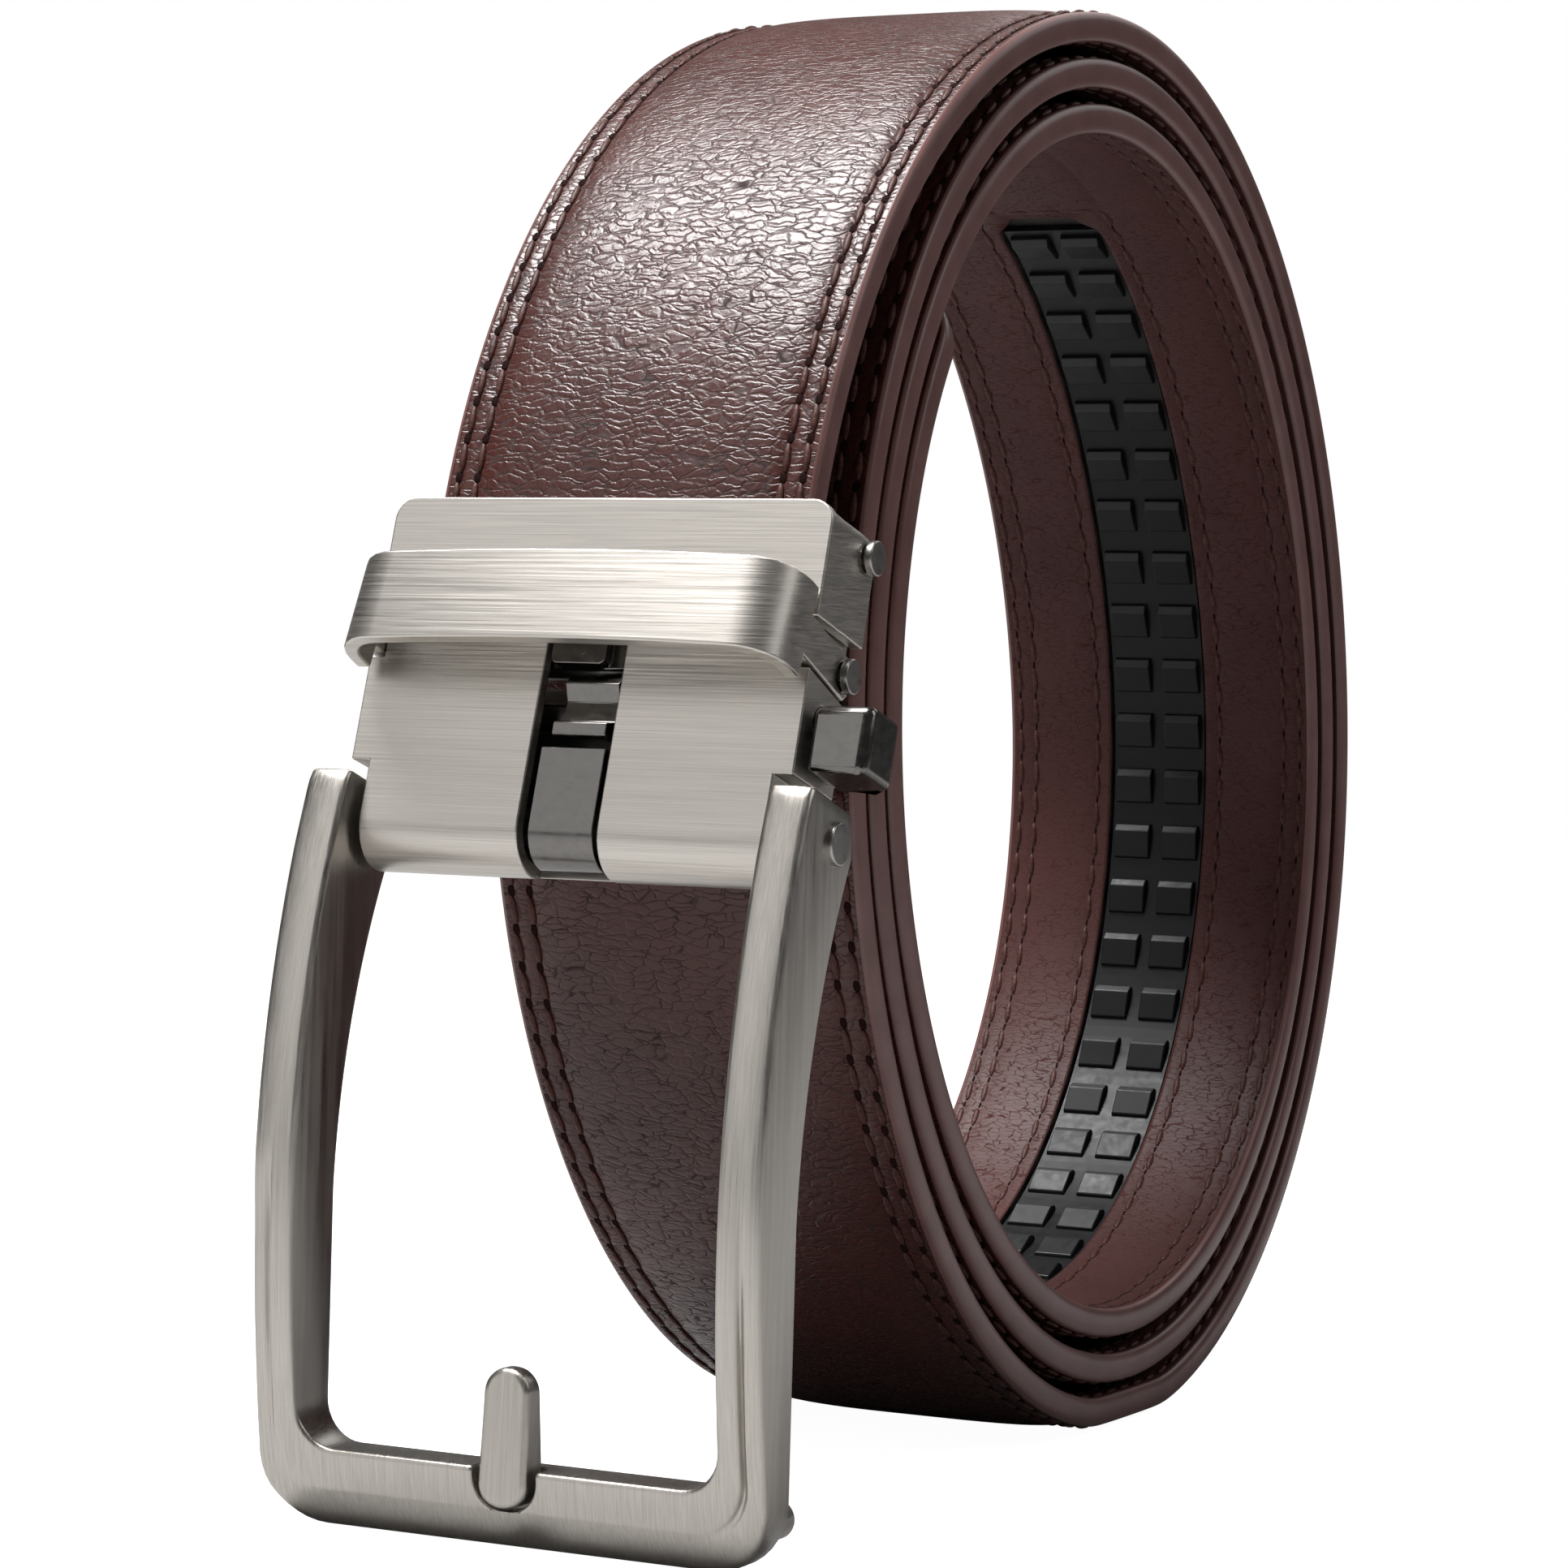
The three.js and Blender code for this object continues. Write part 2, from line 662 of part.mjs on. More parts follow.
function buckleFrame() {
  const floor = -hingeHeight;
  const heel = new THREE.Vector2(-frameHeel.back, frameHeel.up);
  const knee = new THREE.Vector2(frameKnee.forward, frameKnee.up);
  const foot = new THREE.Vector2(frameFoot.forward, floor + frameFoot.up);
  const top = new THREE.Vector2(frameTop.forward, frameTop.up);
  const side = outline([
    [frameFoot.rear, floor],
    [frameFoot.toe, floor],
    ...bowed(foot, top, frameBow),
    ...frameEar,
    ...bowed(heel, knee, -kneeBow, 6),
  ]);
  const half = frameWidth / 2;
  const earTop = frameEar[0][1];
  const face = roundedRectangle(-half, half, floor, earTop, { bottom: frameCorner });
  const gap = roundedRectangle(-frameOpening / 2, frameOpening / 2, floor + barHeight, earTop + 1, {
    bottom: frameInnerCorner,
  });
  const depth = [-2 * frameHeel.back, frameFoot.forward + 2 * frameBow];
  const notchLow = floor + prongBottom - clearance;
  const notch = roundedRectangle(-notchWidth / 2, notchWidth / 2, notchLow, floor + barHeight + 1, {
    bottom: notchCorner,
  });
  const notchBack = frameFoot.forward + prongProud - prongDepth - clearance;
  const peg = (way) => {
    const round = circle(way * (half - footPeg.inset), floor + footPeg.up, footPeg.radius);
    return forwards(round, frameFoot.rear - footPeg.length, frameFoot.rear + footPeg.radius);
  };
  const frame = across(side, -half, half)
    .intersect(forwards(face, ...depth))
    .subtract(forwards(gap, ...depth))
    .subtract(forwards(notch, notchBack, depth[1]))
    .subtract(bore(hingeAt, hingePinRadius))
    .add(pairOf(peg));
  return pieceOf("buckle_frame", frame, brushedNickel());
}

function prong() {
  const low = prongBottom - hingeHeight;
  const shape = roundedRectangle(-prongWidth / 2, prongWidth / 2, low, low + prongLength, {
    bottom: prongCorner,
    top: prongCorner,
  });
  const back = frameFoot.forward + prongProud - prongDepth;
  return pieceOf("prong", forwards(shape, back, back + prongDepth), brushedNickel());
}

const keeperGroup = new THREE.Group().add(keeperLoop());
keeperGroup.position.set(0, keeperPin.back, keeperPin.up);
keeperGroup.rotation.x = -keeperTilt * degrees;

const leaning = new THREE.Group().add(
  buckleHousing(),
  clampCover(),
  pinThrough("clamp_pin", clampAt),
  pinThrough("keeper_pin", keeperAt),
  keeperGroup,
  tonguePlate(),
  pawl(),
  pawlStop(),
  releaseLever(),
);
leaning.rotation.x = -buckleLean * degrees;

const buckle = new THREE.Group().add(leaning, hingePin(), buckleFrame(), prong());
buckle.position.set(0, -hingeForward, hingeHeight);

const belt = new THREE.Group().add(strap(), ratchetTrack(), buckle);
belt.updateMatrixWorld(true);
const middle = new THREE.Box3().setFromObject(belt, true).getCenter(new THREE.Vector3());
belt.position.set(-middle.x, -middle.y, 0);

const assembly = new THREE.Group().add(belt);
export default assembly;
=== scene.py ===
import math

import bmesh
import bpy
import numpy as np
from mathutils import Matrix, Vector


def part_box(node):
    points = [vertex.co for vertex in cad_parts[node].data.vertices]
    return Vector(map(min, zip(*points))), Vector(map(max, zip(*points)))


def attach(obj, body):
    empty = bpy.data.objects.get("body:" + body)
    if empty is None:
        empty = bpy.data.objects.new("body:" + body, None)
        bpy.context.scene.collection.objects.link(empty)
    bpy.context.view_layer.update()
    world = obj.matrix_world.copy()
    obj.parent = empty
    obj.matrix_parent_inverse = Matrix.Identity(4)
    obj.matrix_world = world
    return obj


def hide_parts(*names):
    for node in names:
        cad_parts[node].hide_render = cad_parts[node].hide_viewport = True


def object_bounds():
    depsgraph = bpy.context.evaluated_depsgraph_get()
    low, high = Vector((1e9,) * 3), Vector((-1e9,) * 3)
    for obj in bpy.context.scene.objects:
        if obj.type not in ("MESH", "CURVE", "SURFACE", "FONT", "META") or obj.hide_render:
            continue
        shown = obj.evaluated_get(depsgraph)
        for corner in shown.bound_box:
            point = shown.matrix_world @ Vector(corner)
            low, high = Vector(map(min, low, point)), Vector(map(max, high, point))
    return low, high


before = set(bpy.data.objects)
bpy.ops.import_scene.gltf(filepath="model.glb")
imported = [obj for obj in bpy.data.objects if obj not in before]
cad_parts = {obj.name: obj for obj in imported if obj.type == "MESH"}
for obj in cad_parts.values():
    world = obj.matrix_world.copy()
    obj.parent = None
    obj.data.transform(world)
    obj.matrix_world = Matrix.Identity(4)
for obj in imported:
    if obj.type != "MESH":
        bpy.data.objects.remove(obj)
cad_low, cad_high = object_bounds()

# Camera: level with the middle of the coil and turned 26 degrees round to the release lever's side.
# It is tilted a little about its own line of sight.
mm = 0.001
camera_place = Vector((169.05, -377.5, 65.8)) * mm
camera_azimuth = math.radians(26)
camera_dip = math.radians(0.6)
camera_roll = math.radians(1.8)
lens = 99.3
sensor_width = 36

ahead = Vector((-math.sin(camera_azimuth), math.cos(camera_azimuth), 0))
looking = ahead * math.cos(camera_dip) - Vector((0, 0, 1)) * math.sin(camera_dip)
level = looking.cross(Vector((0, 0, 1))).normalized()
upright = level.cross(looking)
right = level * math.cos(camera_roll) + upright * math.sin(camera_roll)
above = right.cross(looking)
camera = bpy.data.objects.new("camera", bpy.data.cameras.new("camera"))
camera.data.lens = lens
camera.data.sensor_width = sensor_width
turned = Matrix((right, above, -looking)).transposed().to_4x4()
camera.matrix_world = Matrix.Translation(camera_place) @ turned
bpy.context.scene.collection.objects.link(camera)
bpy.context.scene.camera = camera

# Studio: a plain pale floor, four soft lights round the belt and a dim room. Floor and room are
# white to the camera alone. Below the coil the floor throws back less light than in front of it.
floor_size = 6
floor_behind, floor_in_front = 0.36, 0.5
front_from, front_to = -0.02, -0.12
floor_roughness = 0.8
white = (1, 1, 1, 1)
lights = [
    {"name": "top_light", "place": (-0.2, -0.12, 0.8), "size": (0.4, 0.35), "power": 15},
    {"name": "left_light", "place": (-0.46, -0.92, 0.5), "size": (0.6, 0.9), "power": 1.8},
    {"name": "right_light", "place": (0.7, 0.1, 0.65), "size": (0.3, 0.6), "power": 1.3},
    {"name": "back_light", "place": (0.1, 0.7, 0.6), "size": (0.9, 0.4), "power": 1.3},
]
room_strength = 0.075
white_strength = 1.0
floor_glow = 0.97


def node(tree, kind, **settings):
    """A node with its settings. A name with a leading capital is an input."""
    made = tree.nodes.new(kind)
    for key, value in settings.items():
        if key[0].isupper():
            made.inputs[key.replace("_", " ")].default_value = value
        else:
            setattr(made, key, value)
    return made


bm = bmesh.new()
bmesh.ops.create_grid(bm, x_segments=1, y_segments=1, size=floor_size / 2)
floor_mesh = bpy.data.meshes.new("floor")
bm.to_mesh(floor_mesh)
bm.free()
floor = bpy.data.objects.new("floor", floor_mesh)
bpy.context.scene.collection.objects.link(floor)
floor_material = bpy.data.materials.new("pale_floor")
floor_material.use_nodes = True
floor_tree = floor_material.node_tree
floor_shader = floor_tree.nodes["Principled BSDF"]
floor_shader.inputs["Roughness"].default_value = floor_roughness
floor_shader.inputs["Emission Color"].default_value = white
floor_place = node(floor_tree, "ShaderNodeTexCoord")
floor_axes = node(floor_tree, "ShaderNodeSeparateXYZ")
paleness = node(floor_tree, "ShaderNodeMapRange", From_Min=front_from, From_Max=front_to)
paleness.inputs["To Min"].default_value = floor_behind
paleness.inputs["To Max"].default_value = floor_in_front
floor_tree.links.new(floor_place.outputs["Object"], floor_axes.inputs["Vector"])
floor_tree.links.new(floor_axes.outputs["Y"], paleness.inputs["Value"])
floor_tree.links.new(paleness.outputs["Result"], floor_shader.inputs["Base Color"])
floor_ray = node(floor_tree, "ShaderNodeLightPath")
glow = node(floor_tree, "ShaderNodeMath", operation="MULTIPLY")
glow.inputs[1].default_value = floor_glow
floor_tree.links.new(floor_ray.outputs["Is Camera Ray"], glow.inputs[0])
floor_tree.links.new(glow.outputs["Value"], floor_shader.inputs["Emission Strength"])
floor_mesh.materials.append(floor_material)

belt_middle = (cad_low + cad_high) / 2
for light in lights:
    data = bpy.data.lights.new(light["name"], "AREA")
    data.shape = "RECTANGLE"
    data.size, data.size_y = light["size"]
    data.energy = light["power"]
    lamp = bpy.data.objects.new(light["name"], data)
    lamp.location = light["place"]
    lamp.rotation_mode = "QUATERNION"
    lamp.rotation_quaternion = (belt_middle - lamp.location).to_track_quat("-Z", "Y")
    bpy.context.scene.collection.objects.link(lamp)

room = bpy.data.worlds.new("room")
room.use_nodes = True
room_light = room.node_tree.nodes["Background"]
room_light.inputs["Color"].default_value = white
ray = node(room.node_tree, "ShaderNodeLightPath")
brightness = node(room.node_tree, "ShaderNodeMapRange", To_Min=room_strength, To_Max=white_strength)
room.node_tree.links.new(ray.outputs["Is Camera Ray"], brightness.inputs["Value"])
room.node_tree.links.new(brightness.outputs["Result"], room_light.inputs["Strength"])
bpy.context.scene.world = room
bpy.context.scene.view_settings.view_transform = "Standard"

# Leather strap: two layers of leather over a filler, stitched and edge-painted flat on the bench,
# then rolled up. The flat strap lies with its length along Y, from the clamp to the free end.
strap_width = 35 * mm
strap_thickness = 2.8 * mm
pad_height = 0.55 * mm
pad_foot = 14.1 * mm
dome_columns, dome_share = 12, 0.96
row_columns = (13.85, 14.1, 14.25, 14.4, 14.6, 14.9, 15.4, 15.8, 16.05, 16.2, 16.4, 16.7)
lining_columns = (16.6, 16.2, 15.8, 14.8, 14.4, 14.0, 12, 10, 8.5, 7.4, 7.1, 6.8, 5.9, 5.5, 2.75)
edge_insets = ((0.5, 1.37), (0.25, 1.27), (0.08, 1.05), (0, 0.6))
edge_swell = 0.05 * mm
paint_inset = 0.4 * mm
stitch_rows = (14.4 * mm, 16.2 * mm)
row_width = 0.3 * mm
row_depth = 0.14 * mm
lining_press = 0.7
tip_length = 9 * mm
tip_taper = 0.75
strap_step = 1.25 * mm
window_half = 5.5 * mm
window_row = 7.1 * mm
window_depth = 1.2 * mm
window_chamfer = 2.2 * mm
window_side = 0.1 * mm
window_margin = 12 * mm
window_start_angle = 825

coil_height = 67.5 * mm
coil_radius = 68.5 * mm
coil_pitch = 4.4 * mm
pitch_tightening = 0.6 * mm
coil_shift = (1.8 * mm, -42)
coil_oval = (2.95 * mm, 55)
coil_start, coil_end = 75, 1123
coil_step = 0.5
flattening = 0.3 * mm

hinge_forward = 79.9 * mm
buckle_lean = math.radians(16)
barrel_radius = 3.9 * mm
plate_thickness = 1.2 * mm
cover_height = 27.8 * mm
clamp_bite = 17 * mm
clearance = 0.3 * mm
cad_pad = 0.45 * mm
neck_slack, neck_steps = 0.36, 100

hinge_low, hinge_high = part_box("hinge_pin")
hinge = (hinge_low + hinge_high) / 2
middle_x = sum(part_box("leather_strap")[i].x for i in (0, 1)) / 2
coil_y = hinge.y + hinge_forward
lean_axis = np.array((-math.sin(buckle_lean), math.cos(buckle_lean)))
lean_forward = np.array((lean_axis[1], -lean_axis[0]))
strap_forward = barrel_radius - plate_thickness - clearance - strap_thickness / 2 - cad_pad


def on_buckle(forward, up):
    """A place on the leaning buckle, as (forward, up) from the coil's axis on the floor"""
    return np.array((hinge_forward, hinge.z)) + forward * lean_forward + up * lean_axis


def coil_point(angle):
    """The strap's centre line at an angle round the coil, counted on through its turns"""
    a = math.radians(angle)
    shift = coil_shift[0] * math.cos(a - math.radians(coil_shift[1]))
    oval = coil_oval[0] * math.cos(2 * (a - math.radians(coil_oval[1])))
    wound = (coil_pitch - pitch_tightening * math.cos(a)) * angle / 360
    radius = coil_radius - wound + shift + oval - strap_thickness / 2
    lowest = strap_thickness / 2 + pad_height
    drop = coil_height + radius * math.sin(a) - lowest
    up = lowest + (drop + math.hypot(drop, flattening)) / 2
    return np.array((radius * math.cos(a), up))


join = coil_point(coil_start)
join_way = coil_point(coil_start + 1) - join
join_way /= np.linalg.norm(join_way)
leave = on_buckle(strap_forward, cover_height)
reach = neck_slack * np.linalg.norm(join - leave)
handles = (leave, leave + reach * lean_axis, join - reach * join_way, join)
clamped_steps = int((cover_height - clamp_bite) / mm) + 1
line = [on_buckle(strap_forward, clamp_bite + i * mm) for i in range(clamped_steps)]
for i in range(1, neck_steps):
    t = i / neck_steps
    weights = ((1 - t) ** 3, 3 * t * (1 - t) ** 2, 3 * t * t * (1 - t), t**3)
    line.append(sum(w * p for w, p in zip(weights, handles)))
angles = np.arange(coil_start, coil_end + coil_step / 2, coil_step)
first_of_coil = len(line)
line = np.array(line + [coil_point(angle) for angle in angles])
line_lengths = np.concatenate(([0], np.cumsum(np.linalg.norm(np.diff(line, axis=0), axis=1))))
line_ways = np.gradient(line, line_lengths, axis=0)
line_ways /= np.linalg.norm(line_ways, axis=1)[:, None]
strap_length = line_lengths[-1]
window_from = line_lengths[first_of_coil + int((window_start_angle - coil_start) / coil_step)]
window_to = strap_length - window_margin


def roll_up(bm):
    """Moves what was made on the flat strap to where it lies on the rolled one"""
    flat = np.array([v.co for v in bm.verts])
    place = [np.interp(flat[:, 1], line_lengths, line[:, i]) for i in (0, 1)]
    way = [np.interp(flat[:, 1], line_lengths, line_ways[:, i]) for i in (0, 1)]
    size = np.hypot(way[0], way[1])
    forward = place[0] + flat[:, 2] * way[1] / size
    up = place[1] - flat[:, 2] * way[0] / size
    for v, f, u in zip(bm.verts, forward, up):
        v.co = (middle_x + v.co.x, coil_y - f, u)


def new_piece(bm, name, body, materials):
    """Makes the finished piece, which rides on its body"""
    mesh = bpy.data.meshes.new(name)
    bm.to_mesh(mesh)
    bm.free()
    for material in materials:
        mesh.materials.append(material)
    piece = bpy.data.objects.new(name, mesh)
    bpy.context.scene.collection.objects.link(piece)
    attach(piece, body)
    return piece


def face_height(x):
    """Height of the strap's face above its middle plane: the padded dome and the two stitched rows"""
    share = min(abs(x) / pad_foot, 1)
    dome = pad_height * (1 - share**4) ** 0.8
    valleys = sum(row_depth * math.exp(-(((abs(x) - row) / row_width) ** 2)) for row in stitch_rows)
    return strap_thickness / 2 + dome - valleys


half = strap_width / 2
face_columns = [i / dome_columns * pad_foot * dome_share for i in range(dome_columns)]
face_columns += [column * mm for column in row_columns]
edge_half = [(half - inset * mm, z * mm) for inset, z in edge_insets]
edge_points = edge_half + [(half + edge_swell, 0)] + [(x, -z) for x, z in reversed(edge_half)]
lining_rows = (*stitch_rows, window_row)
right_side = [(x, face_height(x)) for x in face_columns] + edge_points
for x in [column * mm for column in lining_columns]:
    press = lining_press * sum(row_depth * math.exp(-(((x - row) / row_width) ** 2)) for row in lining_rows)
    right_side.append((x, press - strap_thickness / 2))
section = right_side + [(0, -strap_thickness / 2)] + [(-x, z) for x, z in reversed(right_side[1:])]


def draw_out(bm, faces, way):
    """Extrudes faces by way and gives back what that made"""
    made = bmesh.ops.extrude_face_region(bm, geom=faces)["geom"]
    far = [v for v in made if isinstance(v, bmesh.types.BMVert)]
    bmesh.ops.translate(bm, verts=far, vec=way)
    return made


bm = bmesh.new()
end = bm.faces.new([bm.verts.new((x, 0, z)) for x, z in section])
draw_out(bm, [end], (0, strap_length, 0))
runs = [e for e in bm.edges if abs(e.verts[0].co.y - e.verts[1].co.y) > strap_length / 2]
bmesh.ops.subdivide_edges(bm, edges=runs, cuts=round(strap_length / strap_step), use_grid_fill=False)
bmesh.ops.recalc_face_normals(bm, faces=bm.faces)

flat_map = bm.loops.layers.uv.new("flat")
map_unit = 10 * mm
for face in bm.faces:
    for loop in face.loops:
        loop[flat_map].uv = (loop.vert.co.x / map_unit, loop.vert.co.y / map_unit)

FACE, PAINT, LINING, SHADED_WELL = range(4)
for face in bm.faces:
    c = face.calc_center_median()
    face.smooth = True
    face.material_index = PAINT if abs(c.x) > half - paint_inset else FACE if c.z > 0 else LINING
well = []
for face in bm.faces:
    c = face.calc_center_median()
    if c.z < -strap_thickness / 3 and abs(c.x) < window_half and window_from < c.y < window_to:
        well.append(face)
for v in {v for face in well for v in face.verts}:
    gone = min(v.co.y - window_from, window_to - v.co.y)
    if gone < window_chamfer and abs(v.co.x) > window_half - window_side:
        v.co.x = math.copysign(window_half - (window_chamfer - max(gone, 0)), v.co.x)
sunk_faces = {f for f in draw_out(bm, well, (0, 0, window_depth)) if isinstance(f, bmesh.types.BMFace)}
bmesh.ops.delete(bm, geom=well, context="FACES")
# Painted shade: the sunk faces and the lining faces round the window's rim take a near-black colour.
for face in sunk_faces:
    face.material_index = SHADED_WELL
    for edge in face.edges:
        for other in edge.link_faces:
            if other not in sunk_faces:
                other.material_index = SHADED_WELL
                other.smooth = False

for v in bm.verts:
    share = max(0, 1 - (strap_length - v.co.y) / tip_length)
    v.co.x *= math.sqrt(1 - tip_taper * share * share)
roll_up(bm)


def material_named(name, roughness, metallic=0.0):
    """A new material, its node tree and its shader"""
    material = bpy.data.materials.new(name)
    material.use_nodes = True
    tree = material.node_tree
    shader = tree.nodes["Principled BSDF"]
    shader.inputs["Roughness"].default_value = roughness
    shader.inputs["Metallic"].default_value = metallic
    return material, tree, shader


def ramp(tree, source, stops):
    """A colour ramp from (position, colour) stops"""
    made = node(tree, "ShaderNodeValToRGB")
    while len(made.color_ramp.elements) < len(stops):
        made.color_ramp.elements.new(0.5)
    for element, (position, color) in zip(made.color_ramp.elements, stops):
        element.position = position
        element.color = (*color, 1)
    tree.links.new(source, made.inputs["Fac"])
    return made.outputs["Color"]


# The grain group gives pebbles, creases across the strap and pores, on the strap's flat map.
grain_pull = (0.34, 0.24, 0)
pebble_share, pore_share = 0.55, 0.35
# Painted shade: the grey that is multiplied into the leather's colour along its creases.
painted_crease_shade, crease_clear = (0.25, 0.25, 0.25), (1, 1, 1)
crease_dulling = 0.55
grain = bpy.data.node_groups.new("leather_grain", "ShaderNodeTree")
grain.interface.new_socket("Vector", in_out="INPUT", socket_type="NodeSocketVector")
grain.interface.new_socket("Height", in_out="OUTPUT", socket_type="NodeSocketFloat")
grain.interface.new_socket("Crease", in_out="OUTPUT", socket_type="NodeSocketFloat")
grain.interface.new_socket("Mottle", in_out="OUTPUT", socket_type="NodeSocketFloat")
group_in = grain.nodes.new("NodeGroupInput")
group_out = grain.nodes.new("NodeGroupOutput")
wander = node(grain, "ShaderNodeTexNoise", Scale=3.2, Detail=5.0)
grain.links.new(group_in.outputs["Vector"], wander.inputs["Vector"])
pull = node(grain, "ShaderNodeVectorMath", operation="MULTIPLY_ADD")
pull.inputs[1].default_value = grain_pull
grain.links.new(wander.outputs["Color"], pull.inputs[0])
grain.links.new(group_in.outputs["Vector"], pull.inputs[2])
pebble = node(grain, "ShaderNodeTexVoronoi", feature="DISTANCE_TO_EDGE", Scale=9.0, Randomness=1.0)
pebble_map = node(grain, "ShaderNodeMapping", Scale=(0.8, 1.15, 1))
grain.links.new(pull.outputs["Vector"], pebble_map.inputs["Vector"])
grain.links.new(pebble_map.outputs["Vector"], pebble.inputs["Vector"])
fold = node(grain, "ShaderNodeTexVoronoi", feature="DISTANCE_TO_EDGE", Scale=6.4, Randomness=1.0)
fold_map = node(grain, "ShaderNodeMapping", Scale=(0.5, 1.45, 1))
grain.links.new(pull.outputs["Vector"], fold_map.inputs["Vector"])
grain.links.new(fold_map.outputs["Vector"], fold.inputs["Vector"])
pebble_rise = node(grain, "ShaderNodeMapRange", From_Max=0.32, interpolation_type="SMOOTHSTEP")
grain.links.new(pebble.outputs["Distance"], pebble_rise.inputs["Value"])
fold_rise = node(grain, "ShaderNodeMapRange", From_Max=0.17, interpolation_type="SMOOTHSTEP")
grain.links.new(fold.outputs["Distance"], fold_rise.inputs["Value"])
pores = node(grain, "ShaderNodeTexNoise", Scale=28.0, Detail=4.0)
grain.links.new(group_in.outputs["Vector"], pores.inputs["Vector"])
both = node(grain, "ShaderNodeMath", operation="MULTIPLY_ADD")
both.inputs[1].default_value = pebble_share
grain.links.new(pebble_rise.outputs["Result"], both.inputs[0])
grain.links.new(fold_rise.outputs["Result"], both.inputs[2])
with_pores = node(grain, "ShaderNodeMath", operation="MULTIPLY_ADD")
with_pores.inputs[1].default_value = pore_share
grain.links.new(pores.outputs["Fac"], with_pores.inputs[0])
grain.links.new(both.outputs["Value"], with_pores.inputs[2])
grain.links.new(with_pores.outputs["Value"], group_out.inputs["Height"])
fold_line = node(grain, "ShaderNodeMapRange", From_Max=0.06, interpolation_type="SMOOTHSTEP")
grain.links.new(fold.outputs["Distance"], fold_line.inputs["Value"])
patches = node(grain, "ShaderNodeTexNoise", Scale=1.6, Detail=3.0)
grain.links.new(group_in.outputs["Vector"], patches.inputs["Vector"])
smooth_skin = node(grain, "ShaderNodeMapRange", From_Min=0.46, From_Max=0.66, To_Max=0.85)
grain.links.new(patches.outputs["Fac"], smooth_skin.inputs["Value"])
shown_line = node(grain, "ShaderNodeMath", operation="MAXIMUM")
grain.links.new(fold_line.outputs["Result"], shown_line.inputs[0])
grain.links.new(smooth_skin.outputs["Result"], shown_line.inputs[1])
grain.links.new(shown_line.outputs["Value"], group_out.inputs["Crease"])
mottle = node(grain, "ShaderNodeTexNoise", Scale=0.35, Detail=4.0)
grain.links.new(group_in.outputs["Vector"], mottle.inputs["Vector"])
grain.links.new(mottle.outputs["Fac"], group_out.inputs["Mottle"])


def leather(name, dark, light, roughness, gloss_level, grain_scale, crease, bump, height):
    """A leather finish: colour from mottle, painted shade in the creases, gloss and relief from the grain"""
    material, tree, shader = material_named(name, roughness)
    shader.inputs["Specular IOR Level"].default_value = gloss_level
    uv = node(tree, "ShaderNodeUVMap", uv_map="flat")
    scaled = node(tree, "ShaderNodeMapping", Scale=(grain_scale, grain_scale, 1))
    tree.links.new(uv.outputs["UV"], scaled.inputs["Vector"])
    skin = tree.nodes.new("ShaderNodeGroup")
    skin.node_tree = grain
    tree.links.new(scaled.outputs["Vector"], skin.inputs["Vector"])
    base = ramp(tree, skin.outputs["Mottle"], [(0.3, dark), (0.7, light)])
    # Painted shade: the crease mask darkens the base colour, as much as the crease share asks.
    crease_shaded = node(tree, "ShaderNodeMix", data_type="RGBA", blend_type="MULTIPLY")
    crease_shaded.inputs["Factor"].default_value = crease
    tree.links.new(base, crease_shaded.inputs["A"])
    lines = ramp(tree, skin.outputs["Crease"], [(0, painted_crease_shade), (0.9, crease_clear)])
    tree.links.new(lines, crease_shaded.inputs["B"])
    tree.links.new(crease_shaded.outputs["Result"], shader.inputs["Base Color"])
    gloss = node(tree, "ShaderNodeMapRange", To_Min=roughness + crease_dulling, To_Max=roughness)
    tree.links.new(skin.outputs["Crease"], gloss.inputs["Value"])
    tree.links.new(gloss.outputs["Result"], shader.inputs["Roughness"])
    relief = node(tree, "ShaderNodeBump", Strength=bump, Distance=height)
    tree.links.new(skin.outputs["Height"], relief.inputs["Height"])
    tree.links.new(relief.outputs["Normal"], shader.inputs["Normal"])
    return material


face_leather = leather(
    "face_leather", dark=(0.039, 0.0095, 0.007), light=(0.06, 0.0165, 0.0125), roughness=0.32,
    gloss_level=0.38, grain_scale=1.5, crease=0.95, bump=0.45, height=0.075 * mm,
)
lining_leather = leather(
    "lining_leather", dark=(0.046, 0.0135, 0.0112), light=(0.058, 0.018, 0.0155), roughness=0.52,
    gloss_level=0.25, grain_scale=2.2, crease=0.15, bump=0.15, height=0.03 * mm,
)
paint, paint_tree, paint_shader = material_named("edge_paint", roughness=0.36)
paint_coord = node(paint_tree, "ShaderNodeTexCoord")
paint_noise = node(paint_tree, "ShaderNodeTexNoise", Scale=260.0, Detail=3.0)
paint_tree.links.new(paint_coord.outputs["Object"], paint_noise.inputs["Vector"])
paint_colors = [(0.3, (0.115, 0.052, 0.046)), (0.7, (0.15, 0.072, 0.066))]
paint_tree.links.new(
    ramp(paint_tree, paint_noise.outputs["Fac"], paint_colors), paint_shader.inputs["Base Color"]
)
paint_relief = node(paint_tree, "ShaderNodeBump", Strength=0.15, Distance=0.1 * mm)
paint_tree.links.new(paint_noise.outputs["Fac"], paint_relief.inputs["Height"])
paint_tree.links.new(paint_relief.outputs["Normal"], paint_shader.inputs["Normal"])
# Painted shade: the window's recess and its rim are coloured near black.
well_shade, well_tree, well_shader = material_named("window_well_shade", roughness=0.7)
well_noise = node(well_tree, "ShaderNodeTexNoise", Scale=1500.0, Detail=2.0)
well_coord = node(well_tree, "ShaderNodeTexCoord")
well_tree.links.new(well_coord.outputs["Object"], well_noise.inputs["Vector"])
well_shade_colors = [(0.3, (0.012, 0.01, 0.01)), (0.7, (0.03, 0.022, 0.02))]
well_tree.links.new(ramp(well_tree, well_noise.outputs["Fac"], well_shade_colors), well_shader.inputs["Base Color"])

strap = new_piece(bm, "strap", "belt", [face_leather, paint, lining_leather, well_shade])
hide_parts("leather_strap")
